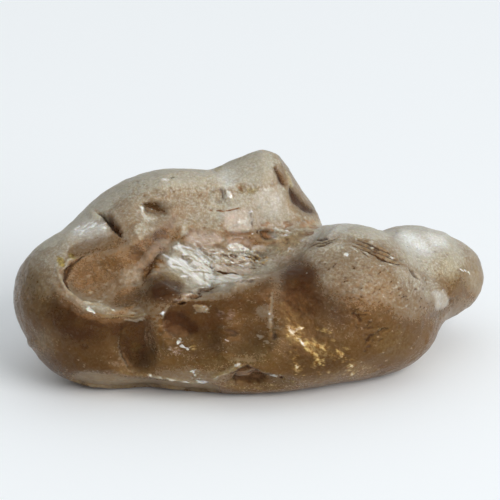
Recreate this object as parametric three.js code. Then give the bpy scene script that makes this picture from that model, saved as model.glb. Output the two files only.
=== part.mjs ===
// A water-worn rough zircon, as found in gem gravel: one natural piece of crystal.
// Two rounded ridges run along it. The back one rises to a knob, and a broken trough lies between them.
//
// Millimetres, +Z up. +X runs along the stone and +Y from its front face to its back.
// The origin is in the middle of the stone's length and depth, on the surface that it rests on.
import * as THREE from "three";
import { mergeVertices } from "three/addons/utils/BufferGeometryUtils.js";

// ---- Driving dimensions ---------------------------------------------------------------------------

// Frequency of the icosahedron that the skin starts from: 20 * (SKIN_DETAIL + 1)^2 triangles.
const SKIN_DETAIL = 20;

// Half sizes of the rough block that the skin starts from.
const BLOCK_HALF = new THREE.Vector3(11.8, 5.9, 5.0);

// The line inside the stone that the skin is measured outwards from.
const SPINE_LEFT = new THREE.Vector3(-8.2, -1.2, 3.8);
const SPINE_RIGHT = new THREE.Vector3(8.2, 1.9, 3.4);

// How widely neighbouring lobes flow into each other, and how soft the lip of a hollow is.
const LOBE_BLEND = 0.9;
const HOLLOW_LIP = 0.35;

// Rounded masses that make up the stone, in the frame of the rough block: centre, half sizes and
// turn (degrees about X, Y, Z).
const LOBES = [
  { name: "left end", at: [-8.3, -1.5, 4.2], half: [3.35, 3.7, 3.15], turn: [0, 0, 0] },
  { name: "left foot", at: [-7.0, -2.3, 2.3], half: [3.6, 2.9, 2.4], turn: [0, 0, 0] },
  { name: "left slope", at: [-7.2, -0.3, 5.5], half: [3.4, 2.9, 2.2], turn: [0, -36, 0] },
  { name: "back left ridge", at: [-4.7, 1.4, 5.85], half: [4.9, 3.7, 3.45], turn: [0, -24, 0] },
  { name: "shoulder", at: [-1.6, 2.5, 6.0], half: [3.0, 2.6, 2.9], turn: [0, 0, 0] },
  { name: "knob", at: [0.6, 3.4, 7.4], half: [1.6, 1.9, 2.6], turn: [0, 6, 0] },
  { name: "knob side", at: [-0.4, 3.3, 7.6], half: [1.5, 1.6, 1.8], turn: [0, 0, 0] },
  { name: "knob foot", at: [1.6, 3.2, 6.0], half: [1.9, 2.1, 2.4], turn: [0, -32, 0] },
  { name: "belly", at: [-0.5, -0.9, 2.4], half: [8.6, 5.0, 3.0], turn: [0, 0, 0] },
  { name: "front wall", at: [-1.6, -3.0, 3.5], half: [5.1, 2.3, 2.6], turn: [0, -15, 0] },
  { name: "nose", at: [-4.0, -3.2, 4.7], half: [1.4, 1.3, 1.2], turn: [0, 0, 0] },
  { name: "front right ridge", at: [4.5, -0.7, 3.7], half: [4.4, 4.0, 3.7], turn: [0, 0, 12] },
  { name: "right foot", at: [6.0, -0.2, 2.4], half: [3.4, 3.3, 2.6], turn: [0, 0, 0] },
  { name: "right end", at: [8.0, 2.2, 3.65], half: [2.9, 3.1, 2.6], turn: [0, 0, 0] },
  { name: "right tip", at: [10.0, 3.2, 3.3], half: [1.8, 2.0, 1.8], turn: [0, 0, 0] },
];

// Hollows worn or broken out of the lobes, in the same terms.
const HOLLOWS = [
  { name: "thumbprint", at: [-6.9, -4.8, 6.4], half: [2.5, 2.1, 1.5], turn: [46, 0, 12] },
  { name: "valley", at: [-4.9, -3.4, 7.7], half: [2.9, 1.0, 1.0], turn: [0, -31, 25] },
  { name: "trough floor", at: [-2.2, -2.4, 6.7], half: [2.3, 2.2, 1.4], turn: [30, -18, 8] },
  { name: "trough", at: [0.9, -0.7, 7.0], half: [3.2, 1.9, 1.3], turn: [32, -16, 30] },
  { name: "far slope", at: [-1.0, -1.7, 9.7], half: [5.4, 4.3, 3.0], turn: [50, 0, 12] },
  { name: "left scoop", at: [-5.65, -5.7, 3.0], half: [1.25, 1.1, 1.8], turn: [0, 0, 0] },
  { name: "middle scoop", at: [-2.7, -5.8, 4.3], half: [1.9, 1.3, 1.5], turn: [0, -8, 0] },
  { name: "right scoop", at: [-0.2, -5.9, 4.6], half: [1.6, 1.25, 1.8], turn: [0, 0, 0] },
  { name: "front notch", at: [0.4, -6.0, 1.0], half: [2.0, 1.2, 0.7], turn: [0, 0, 0] },
  { name: "back scoop", at: [-3.6, 6.9, 4.4], half: [3.4, 2.4, 2.6], turn: [-20, 0, 0] },
  { name: "back facet", at: [5.4, 7.6, 5.6], half: [4.6, 4.2, 3.4], turn: [-40, 0, -20] },
];

// ---- Shape of the solid stone ---------------------------------------------------------------------

// Gives each ellipsoid the matrix that takes a point into its own turned frame.
function ellipsoid({ at, half, turn }) {
  const euler = new THREE.Euler(...turn.map(THREE.MathUtils.degToRad), "ZYX");
  const placed = new THREE.Matrix4().makeRotationFromEuler(euler).setPosition(...at);
  return { toLocal: placed.invert(), half: new THREE.Vector3(...half) };
}

// Distance from a point to an ellipsoid's surface, negative inside. It is exact on the surface.
function ellipsoidDistance(point, { toLocal, half }) {
  const scaled = point.clone().applyMatrix4(toLocal).divide(half);
  const reach = scaled.length();
  const slope = scaled.divide(half).length();
  return slope > 0 ? (reach * (reach - 1)) / slope : -Math.min(half.x, half.y, half.z);
}

// The smaller of two distances, rounded over where they are within width of each other.
function softMin(a, b, width) {
  const overlap = Math.max(width - Math.abs(a - b), 0) / width;
  return Math.min(a, b) - (overlap * overlap * width) / 4;
}

const lobes = LOBES.map(ellipsoid);
const hollows = HOLLOWS.map(ellipsoid);

// Distance from a point to the stone's skin, negative inside.
function stoneDistance(point) {
  let distance = Infinity;
  for (const lobe of lobes) {
    distance = softMin(distance, ellipsoidDistance(point, lobe), LOBE_BLEND);
  }
  for (const hollow of hollows) {
    distance = -softMin(-distance, ellipsoidDistance(point, hollow), HOLLOW_LIP);
  }
  return Math.max(distance, -point.z);
}

// ---- Skin -----------------------------------------------------------------------------------------

const MARCH_STEP = 0.2;
const HALVINGS = 24;
const SETTLE_STEPS = 3;
const SLOPE_STEP = 1e-4;
const EVENING_ROUNDS = 10;

// The first point where a ray from inside the stone leaves it.
function leavingPoint(start, direction) {
  const at = (distance) => start.clone().addScaledVector(direction, distance);
  let outside = MARCH_STEP;
  while (stoneDistance(at(outside)) < 0) outside += MARCH_STEP;
  let inside = outside - MARCH_STEP;
  for (let i = 0; i < HALVINGS; i++) {
    const middle = (inside + outside) / 2;
    if (stoneDistance(at(middle)) < 0) inside = middle;
    else outside = middle;
  }
  return at(inside);
}

// Moves a point near the surface onto it, straight up or down the slope of the distance.
function settle(point) {
  for (let i = 0; i < SETTLE_STEPS; i++) {
    const distance = stoneDistance(point);
    const slope = new THREE.Vector3();
    for (const axis of ["x", "y", "z"]) {
      const beside = point.clone();
      beside[axis] += SLOPE_STEP;
      slope[axis] = (stoneDistance(beside) - distance) / SLOPE_STEP;
    }
    point.addScaledVector(slope, -distance / slope.lengthSq());
  }
  point.z = Math.max(point.z, 0);
}

// The corners that share an edge with each corner.
function neighbours(skin) {
  const index = skin.getIndex();
  const sets = Array.from({ length: skin.getAttribute("position").count }, () => new Set());
  for (let i = 0; i < index.count; i += 3) {
    const triangle = [index.getX(i), index.getX(i + 1), index.getX(i + 2)];
    for (const a of triangle) {
      for (const b of triangle) if (a !== b) sets[a].add(b);
    }
  }
  return sets;
}

// Evens out the triangles: each corner goes halfway to the middle of its neighbours, then settles.
function evenOut(skin) {
  const corners = skin.getAttribute("position");
  const around = neighbours(skin);
  const corner = new THREE.Vector3();
  const other = new THREE.Vector3();
  for (let round = 0; round < EVENING_ROUNDS; round++) {
    for (let i = 0; i < corners.count; i++) {
      const middle = new THREE.Vector3();
      for (const j of around[i]) middle.add(other.fromBufferAttribute(corners, j));
      middle.divideScalar(around[i].size);
      corner.fromBufferAttribute(corners, i).lerp(middle, 0.5);
      settle(corner);
      corners.setXYZ(i, corner.x, corner.y, corner.z);
    }
  }
}

// A closed skin of even triangles: each corner slides out from the spine until it meets the surface.
// The finished skin is moved sideways so that the origin is in the middle of its length and depth.
function stoneGeometry() {
  const ball = new THREE.IcosahedronGeometry(1, SKIN_DETAIL);
  ball.deleteAttribute("normal");
  ball.deleteAttribute("uv");
  const skin = mergeVertices(ball);
  const corners = skin.getAttribute("position");
  const corner = new THREE.Vector3();
  for (let i = 0; i < corners.count; i++) {
    corner.fromBufferAttribute(corners, i);
    const along = THREE.MathUtils.clamp((corner.x + 1) / 2, 0, 1);
    const start = SPINE_LEFT.clone().lerp(SPINE_RIGHT, along);
    const onBlock = corner.clone().multiply(BLOCK_HALF);
    const direction = new THREE.Vector3(onBlock.x - start.x, onBlock.y, onBlock.z).normalize();
    const met = leavingPoint(start, direction);
    corners.setXYZ(i, met.x, met.y, Math.max(met.z, 0));
  }
  evenOut(skin);
  skin.computeBoundingBox();
  const middle = skin.boundingBox.getCenter(new THREE.Vector3());
  skin.translate(-middle.x, -middle.y, 0);
  skin.computeVertexNormals();
  return skin;
}

// ---- Scene graph ----------------------------------------------------------------------------------

const zirconSkin = new THREE.MeshStandardMaterial({
  name: "zircon",
  color: 0x7d6650,
  roughness: 0.42,
  metalness: 0,
});

const stone = new THREE.Mesh(stoneGeometry(), zirconSkin);
stone.name = "zircon_stone";

const specimen = new THREE.Group();
specimen.name = "rough_zircon";
specimen.add(stone);

export default specimen;
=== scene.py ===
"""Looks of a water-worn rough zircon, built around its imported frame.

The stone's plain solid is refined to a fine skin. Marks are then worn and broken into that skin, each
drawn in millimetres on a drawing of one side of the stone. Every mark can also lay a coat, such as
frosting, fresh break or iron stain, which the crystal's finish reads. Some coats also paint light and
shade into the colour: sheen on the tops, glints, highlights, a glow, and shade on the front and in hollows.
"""

import logging
import math
from collections.abc import Iterable
from dataclasses import dataclass, field
from enum import Enum

import bmesh
import bpy
import numpy as np
from mathutils import Matrix, Vector, noise
from mathutils.bvhtree import BVHTree


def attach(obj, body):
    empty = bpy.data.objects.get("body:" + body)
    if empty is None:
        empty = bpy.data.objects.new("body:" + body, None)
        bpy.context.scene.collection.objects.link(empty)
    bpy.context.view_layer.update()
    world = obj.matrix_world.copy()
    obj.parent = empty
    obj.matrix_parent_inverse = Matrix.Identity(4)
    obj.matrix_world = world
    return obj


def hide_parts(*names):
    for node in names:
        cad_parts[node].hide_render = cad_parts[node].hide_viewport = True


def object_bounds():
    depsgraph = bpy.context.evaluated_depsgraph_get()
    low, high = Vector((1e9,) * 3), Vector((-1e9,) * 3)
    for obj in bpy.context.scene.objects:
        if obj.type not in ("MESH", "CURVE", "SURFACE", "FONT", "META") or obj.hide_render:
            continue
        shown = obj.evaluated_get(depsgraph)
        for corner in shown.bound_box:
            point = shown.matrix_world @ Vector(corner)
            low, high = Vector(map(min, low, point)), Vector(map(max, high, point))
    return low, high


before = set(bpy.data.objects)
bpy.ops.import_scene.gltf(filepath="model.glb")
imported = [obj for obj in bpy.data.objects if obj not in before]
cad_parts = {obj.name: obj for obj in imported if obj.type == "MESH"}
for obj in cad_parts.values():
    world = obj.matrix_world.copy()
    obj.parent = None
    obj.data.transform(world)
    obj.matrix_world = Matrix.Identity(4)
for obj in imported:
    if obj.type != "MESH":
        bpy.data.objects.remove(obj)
CAD_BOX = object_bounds()

LOG = logging.getLogger("zircon")

MM = 0.001
STONE_NODE = "zircon_stone"
BODY = "root"

# The eye of the front drawing is the camera. It looks at a point given as shares of the stone's box.
EYE_DISTANCE = 200.0
VIEW_WIDTH = 25.0
VIEW_ELEVATION = 22.0
VIEW_AT = (0.4968, 0.7086, 0.5202)

# Waves in the edges of the marks: size and reach in mm, and a seed. Up the drawing, UP_SEED is added.
EDGE_WAVES = ((0.9, 0.12, 21.0), (0.28, 0.05, 33.0))
UP_SEED = 7.0

# Noise on the skin: how fast its finer layers fade, and how much finer each layer is than the last.
FADING = 1.0
FINER = 2.0

# A stroke loses this share of its width at its ends. A ledge's edge is this sharp, in mm.
TAPERED = 0.85
LEDGE_EDGE = 0.05

# Ledges along the crystal's layers: the size in mm and the reach in layers of their wander, the flat
# share of each ledge, how far they are lifted in layers, and how fully they take the old skin's place.
LAYER_WANDER_SIZE = 1.6
LAYER_WANDER = 1.2
LEDGE_TREAD = 0.72
LAYER_LIFT = 0.4
LAYER_STRENGTH = 0.8

# Points with a smaller share of the marks than this stay untouched. A mark is looked for in points up
# to this far outside it, in mm.
LEAST_SHARE = 0.05
MARK_MARGIN = 0.3

# Rays to the eye start this far above the skin, in mm. Where the front's coats end, they are spread
# over the skin this many times.
RAY_START = 0.02
BORDER_ROUNDS = 10

# Strewn marks: the softness of their place's outline in mm, how far their lines stray from the given
# direction in degrees, and ranges of a line's half length, a mark's width and its strength, as shares.
HARD_EDGE = 0.02
ASTRAY = 12.0
HALF_LENGTHS = (0.25, 0.6)
WIDTHS = (0.6, 1.4)
STRENGTHS = (0.6, 1.1)
MOST_BENT = 0.3

# Marks along a line: the range of their lengths and strengths, and how many points of a smooth line
# make up half of a mark for each mm of its length.
LINE_STRENGTHS = (0.5, 1.1)
POINTS_A_HALF = 10.0

Outline = tuple[tuple[float, float], ...]
Array = np.ndarray
Tree = bpy.types.NodeTree
Socket = bpy.types.NodeSocket


class Side(Enum):
    """Sides that the stone is drawn from: the eye's azimuth and elevation in degrees."""

    FRONT = (0.0, VIEW_ELEVATION)
    RIGHT = (90.0, 15.0)
    BACK = (180.0, 20.0)
    LEFT = (270.0, 15.0)
    TOP = (0.0, 80.0)


class Cut(Enum):
    """Sections across a stroke."""

    ROUND = "a rounded hollow or swelling"
    VEE = "a crack with straight walls"
    FLAT = "a flat-bottomed pit with steep walls"
    STEP = "a ledge, low on the right hand of the line"


class Coat(Enum):
    """What can cover the skin, and painted light and shade laid with it. Each is a point attribute of the
    mesh: 0 is none and 1 is a full coat.
    """

    # Real frosting, and also painted sheen, heaviest on upward faces and lit places.
    FROST = "frost"
    # Pale glossy fresh break; its marks also paint glints and highlights.
    FRESH = "fresh"
    STAIN = "stain"
    # Dark cracks and pits; the lighter dirt colour also paints shade into hollows.
    DIRT = "dirt"
    BLUSH = "blush"
    OLIVE = "olive"
    # Milky crystal, used mostly to paint soft highlights on glossy places.
    MILK = "milk"
    # Golden flaws, and also a painted glow of light coming through the crystal, as along the foot.
    GOLD = "gold"
    # Deep brown crystal, and also painted shade on the steep front and under the roll above the bowl.
    CLEAR = "clear"


FROST, FRESH, STAIN, DIRT = Coat.FROST, Coat.FRESH, Coat.STAIN, Coat.DIRT
BLUSH, OLIVE, GOLD, CLEAR, MILK = Coat.BLUSH, Coat.OLIVE, Coat.GOLD, Coat.CLEAR, Coat.MILK


# ---- Small helpers ------------------------------------------------------------------------------------


def linear(colour: str) -> tuple[float, float, float, float]:
    """Turns an sRGB colour into the linear colour that a shader takes.

    Args:
        colour: The colour as "#rrggbb".

    Returns:
        Linear red, green, blue and an alpha of 1.
    """
    parts = [int(colour[i : i + 2], 16) / 255 for i in (1, 3, 5)]
    red, green, blue = [p / 12.92 if p <= 0.04045 else ((p + 0.055) / 1.055) ** 2.4 for p in parts]
    return red, green, blue, 1.0


def add(tree: Tree, kind: str, inputs: dict | None = None, **settings: object) -> bpy.types.Node:
    """Adds a node to a tree.

    Args:
        tree: The node tree.
        kind: The node's type name, without its "ShaderNode".
        inputs: Values or output sockets, by input name or number.
        **settings: Properties of the node itself.

    Returns:
        The new node.
    """
    node = tree.nodes.new("ShaderNode" + kind)
    for name, value in settings.items():
        setattr(node, name, value)
    for socket, value in (inputs or {}).items():
        if isinstance(value, Socket):
            tree.links.new(value, node.inputs[socket])
        else:
            node.inputs[socket].default_value = value
    return node


def smooth_step(values: Array, low: float, high: float) -> Array:
    """Eases from 0 at low to 1 at high.

    Args:
        values: Any numbers.
        low: Where the ramp starts.
        high: Where the ramp ends. It may be below low, for a falling ramp.

    Returns:
        Numbers from 0 to 1.
    """
    share = np.clip((values - low) / (high - low), 0.0, 1.0)
    return share * share * (3.0 - 2.0 * share)


def flowing_line(points: Outline, closed: bool, spacing: float = 0.05) -> Array:
    """Draws a smooth line through given points.

    Args:
        points: The points, in mm.
        closed: Whether the line comes back to its start.
        spacing: Distance between the points of the smooth line, in mm.

    Returns:
        The smooth line's points, one a row.
    """
    given = np.array(points, float)
    if len(given) == 1:
        return given
    if closed:
        given = np.vstack([given[-1], given, given[0], given[1]])
    else:
        given = np.vstack([2 * given[0] - given[1], given, 2 * given[-1] - given[-2]])
    pieces = []
    for before, start, end, after in zip(given, given[1:], given[2:], given[3:]):
        steps = max(int(np.linalg.norm(end - start) / spacing), 1)
        t = np.arange(steps)[:, None] / steps
        pieces.append(
            start
            + 0.5 * t * (end - before)
            + t**2 * (before - 2.5 * start + 2.0 * end - 0.5 * after)
            + t**3 * (1.5 * start - 0.5 * before - 1.5 * end + 0.5 * after)
        )
    if not closed:
        pieces.append(given[-2:-1])
    return np.vstack(pieces)


# ---- Drawings and marks -------------------------------------------------------------------------------


@dataclass(frozen=True)
class Drawing:
    """The stone as seen from one side, in mm right and up from the middle of the view."""

    side: Side
    middle: tuple[float, float, float]

    def axes(self) -> Array:
        """The drawing's right, up and towards-the-eye directions, one a row."""
        azimuth, elevation = (math.radians(a) for a in self.side.value)
        right = Vector((math.cos(azimuth), math.sin(azimuth), 0.0))
        level = Vector((math.sin(azimuth), -math.cos(azimuth), 0.0))
        back = level * math.cos(elevation) + Vector((0.0, 0.0, math.sin(elevation)))
        return np.array([right, back.cross(right), back])

    def eye(self) -> Vector:
        """Where the eye is, in mm."""
        return Vector(self.middle) + Vector(self.axes()[2]) * EYE_DISTANCE

    def project(self, points: Array) -> Array:
        """Places points on the drawing.

        Args:
            points: Points on the stone in mm, one a row.

        Returns:
            Their places on the drawing, in mm.
        """
        turned = (points - np.array(self.middle)) @ self.axes().T
        return turned[:, :2] * (EYE_DISTANCE / (EYE_DISTANCE - turned[:, 2:3]))


@dataclass(frozen=True)
class Stroke:
    """A mark that follows a line: a groove, a ridge, a ledge, a dent or a streak of a coat."""

    points: Outline
    width: float
    coats: dict[Coat, float] = field(default_factory=dict)
    depth: float = 0.0
    cut: Cut = Cut.ROUND
    spread: float = 1.0
    taper: float = 3.0

    def weights(self, places: Array) -> tuple[Array, Array]:
        """Works out how strongly the stroke acts at places on its drawing.

        Args:
            places: Places on the drawing in mm, one a row.

        Returns:
            The depth share and the coat share of each place.
        """
        line = flowing_line(self.points, closed=False)
        offset = places[:, None] - line[None]
        gap = np.linalg.norm(offset, axis=2)
        nearest = gap.argmin(1)
        gap = gap[np.arange(len(places)), nearest]
        thin = 1.0
        if len(line) > 1:
            along = nearest / (len(line) - 1)
            thin = 1.0 - np.abs(2.0 * along - 1.0) ** self.taper * TAPERED
        x = gap / (self.width * thin)
        if self.cut is Cut.ROUND:
            deep = np.clip(1.0 - x**2, 0.0, 1.0) ** 2
        elif self.cut is Cut.VEE:
            deep = np.clip(1.0 - x, 0.0, 1.0) ** 1.2
        elif self.cut is Cut.FLAT:
            deep = smooth_step(x, 1.0, 0.55)
        else:
            tangent = np.gradient(line, axis=0)[nearest]
            away = offset[np.arange(len(places)), nearest]
            across = tangent[:, 1] * away[:, 0] - tangent[:, 0] * away[:, 1]
            low_side = smooth_step(np.sign(across) * gap, -LEDGE_EDGE, LEDGE_EDGE)
            deep = low_side * np.clip(1.0 - x, 0.0, 1.0) ** 1.5
        return deep * thin, smooth_step(x / self.spread, 1.0, 0.5)


@dataclass(frozen=True)
class Area:
    """A mark that fills an outline: a facet, a sunken place, a stack of ledges or a coated patch."""

    outline: Outline
    soft: float = 0.15
    coats: dict[Coat, float] = field(default_factory=dict)
    depth: float = 0.0
    flatten: float = 0.0
    facing: tuple[float, float, float] | None = None
    layer: float = 0.0
    cleavage: tuple[float, float, float] = (0.0, 0.0, 1.0)

    def weights(self, places: Array) -> tuple[Array, Array]:
        """Works out how strongly the area acts at places on its drawing.

        Args:
            places: Places on the drawing in mm, one a row.

        Returns:
            The depth share and the coat share of each place.
        """
        line = flowing_line(self.outline, closed=True)
        gap = np.linalg.norm(places[:, None] - line[None], axis=2).min(1)
        after = np.roll(line, -1, axis=0)
        x, y = places[:, :1], places[:, 1:]
        crosses = (line[:, 1] > y) != (after[:, 1] > y)
        rise = np.where(after[:, 1] == line[:, 1], 1e-9, after[:, 1] - line[:, 1])
        meets = line[:, 0] + (y - line[:, 1]) * (after[:, 0] - line[:, 0]) / rise
        inside = ((crosses & (x < meets)).sum(1) % 2).astype(bool)
        weight = smooth_step(np.where(inside, gap, -gap), -self.soft, self.soft)
        return weight, weight


Mark = Stroke | Area


# ---- The skin while it is worked ----------------------------------------------------------------------


class Skin:
    """The stone's skin while it is being worked: its points in mm, their normals and their coats."""

    def __init__(self, points: Array, triangles: Array) -> None:
        """Starts from a closed skin of triangles.

        Args:
            points: The skin's points in mm, one a row.
            triangles: Each triangle's three point numbers, one a row.
        """
        self.points = points
        self.triangles = triangles
        self.edges = np.vstack([triangles[:, [0, 1]], triangles[:, [1, 2]], triangles[:, [2, 0]]])
        self.coats = {coat: np.zeros(len(points)) for coat in Coat}
        self.normals = self.point_normals()

    def point_normals(self) -> Array:
        """The outward direction at each point."""
        a, b, c = (self.points[self.triangles[:, i]] for i in range(3))
        across = np.cross(b - a, c - a)
        total = np.zeros_like(self.points)
        for corner in range(3):
            for axis in range(3):
                total[:, axis] += np.bincount(
                    self.triangles[:, corner], across[:, axis], minlength=len(self.points)
                )
        return total / np.linalg.norm(total, axis=1, keepdims=True)

    def averaged(self, values: Array, rounds: int) -> Array:
        """Spreads values over the skin, each point taking half of its neighbours' mean.

        Args:
            values: One row or number a point.
            rounds: How many times.

        Returns:
            The spread values.
        """
        flat = values.reshape(len(values), -1).copy()
        start, end = self.edges.T
        count = np.bincount(start, minlength=len(flat))[:, None]
        for _ in range(rounds):
            total = np.stack(
                [np.bincount(start, column[end], minlength=len(flat)) for column in flat.T], axis=1
            )
            flat = 0.5 * flat + 0.5 * total / count
        return flat.reshape(values.shape)

    def smooth(self, rounds: int) -> None:
        """Smooths the skin without shrinking it.

        Args:
            rounds: How many times.
        """
        for _ in range(rounds):
            once = self.averaged(self.points, 1)
            self.points = once - self.averaged(once - self.points, 1)
        self.seat()

    def seat(self) -> None:
        """Keeps the worn base flat and everything else above it."""
        self.points[:, 2] = np.maximum(self.points[:, 2], 0.0)
        self.normals = self.point_normals()

    def move(self, depth: Array) -> None:
        """Moves each point inwards along its normal.

        Args:
            depth: How far in mm, one number a point.
        """
        self.points -= self.normals * depth[:, None]
        self.seat()

    def noise_at(self, size: float, seed: float, octaves: int = 2) -> Array:
        """Smooth noise over the skin.

        Args:
            size: The size of its lumps in mm.
            seed: Shifts the pattern.
            octaves: How many finer layers it has.

        Returns:
            One number a point, about -1 to 1.
        """
        shift = Vector((seed, seed * 0.7, -seed))
        return np.array(
            [noise.fractal(Vector(p) / size + shift, FADING, FINER, octaves) for p in self.points]
        )

    def hollowness(self, rounds: int) -> Array:
        """How far each point lies below the skin around it, in mm.

        Args:
            rounds: How wide the surroundings are.

        Returns:
            One number a point, positive in hollows and negative on edges.
        """
        return ((self.averaged(self.points, rounds) - self.points) * self.normals).sum(1)


class Carver:
    """Works marks into a skin from one side.

    Each point has a share of the marks' shape and a share of their coats. Both are 0 where the side
    can't be seen. On the front the coats fade out more softly than the shape does.
    """

    def __init__(self, skin: Skin, drawing: Drawing) -> None:
        """Looks at the skin from the drawing's side.

        Args:
            skin: The skin to work.
            drawing: The drawing that the marks are laid out on.
        """
        self.skin = skin
        self.places = drawing.project(skin.points)
        for size, reach, seed in EDGE_WAVES:
            for axis in range(2):
                self.places[:, axis] += skin.noise_at(size, seed + UP_SEED * axis, 1) * reach
        tree = BVHTree.FromPolygons(skin.points.tolist(), skin.triangles.tolist())
        eye = drawing.eye()
        facing = ((np.array(eye) - skin.points) * skin.normals).sum(1) > 0.0
        clear = np.zeros(len(skin.points))
        for i in np.flatnonzero(facing):
            start = Vector(skin.points[i] + skin.normals[i] * RAY_START)
            clear[i] = tree.ray_cast(start, eye - start)[0] is None
        self.seen = skin.averaged(clear, 1)
        self.coated = self.seen
        if drawing.side is Side.FRONT:
            self.coated = np.clip(2.0 * skin.averaged(clear, BORDER_ROUNDS), 0.0, 1.0)

    def work(self, marks: Iterable[Mark]) -> None:
        """Works marks into the skin, one after another.

        Args:
            marks: The marks, in the order that they were made in.
        """
        for mark in marks:
            self.work_one(mark)
        self.skin.seat()

    def work_one(self, mark: Mark) -> None:
        """Works one mark into the skin and lays its coats.

        Args:
            mark: The mark.
        """
        given = np.array(mark.points if isinstance(mark, Stroke) else mark.outline)
        reach = mark.width * max(mark.spread, 1.0) if isinstance(mark, Stroke) else mark.soft
        low, high = given.min(0) - reach - MARK_MARGIN, given.max(0) + reach + MARK_MARGIN
        inside = ((self.places > low) & (self.places < high)).all(1) & (self.coated > LEAST_SHARE)
        near = np.flatnonzero(inside)
        if len(near) == 0:
            return
        deep, coated = mark.weights(self.places[near])
        deep, coated = deep * self.seen[near], coated * self.coated[near]
        skin = self.skin
        if isinstance(mark, Area) and mark.flatten:
            self.flatten(mark, near, deep)
        if isinstance(mark, Area) and mark.layer:
            self.split_into_layers(mark, near, deep)
        skin.points[near] -= skin.normals[near] * (deep * mark.depth)[:, None]
        for coat, amount in mark.coats.items():
            now = skin.coats[coat][near]
            if amount >= 0.0:
                skin.coats[coat][near] = np.maximum(now, amount * coated)
            else:
                skin.coats[coat][near] = now * (1.0 + amount * coated)

    def flatten(self, mark: Area, near: Array, weight: Array) -> None:
        """Breaks a flat facet into the skin.

        Args:
            mark: The facet.
            near: Numbers of the points that it may touch.
            weight: How strongly it touches each.
        """
        skin = self.skin
        points = skin.points[near]
        share = weight / max(weight.sum(), 1e-9)
        centre = (points * share[:, None]).sum(0)
        facing = mark.facing or (skin.normals[near] * share[:, None]).sum(0)
        facing = np.array(facing) / np.linalg.norm(facing)
        height = (points - centre) @ facing
        skin.points[near] -= np.outer(height * weight * mark.flatten, facing)

    def split_into_layers(self, mark: Area, near: Array, weight: Array) -> None:
        """Breaks a place into ledges along the crystal's layers.

        Args:
            mark: The place, with its layers' thickness and direction.
            near: Numbers of the points that it may touch.
            weight: How strongly it touches each.
        """
        skin = self.skin
        across = np.array(mark.cleavage) / np.linalg.norm(mark.cleavage)
        points = skin.points[near]
        wander = np.array([noise.fractal(Vector(p) / LAYER_WANDER_SIZE, FADING, FINER, 2) for p in points])
        level = points @ across / mark.layer + wander * LAYER_WANDER
        share = level - np.floor(level)
        ledge = np.floor(level) + smooth_step(share, LEDGE_TREAD, 1.0)
        shift = (ledge - level + LAYER_LIFT) * mark.layer * weight * LAYER_STRENGTH
        skin.points[near] += np.outer(shift, across)


# ---- Finishes -----------------------------------------------------------------------------------------


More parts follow.
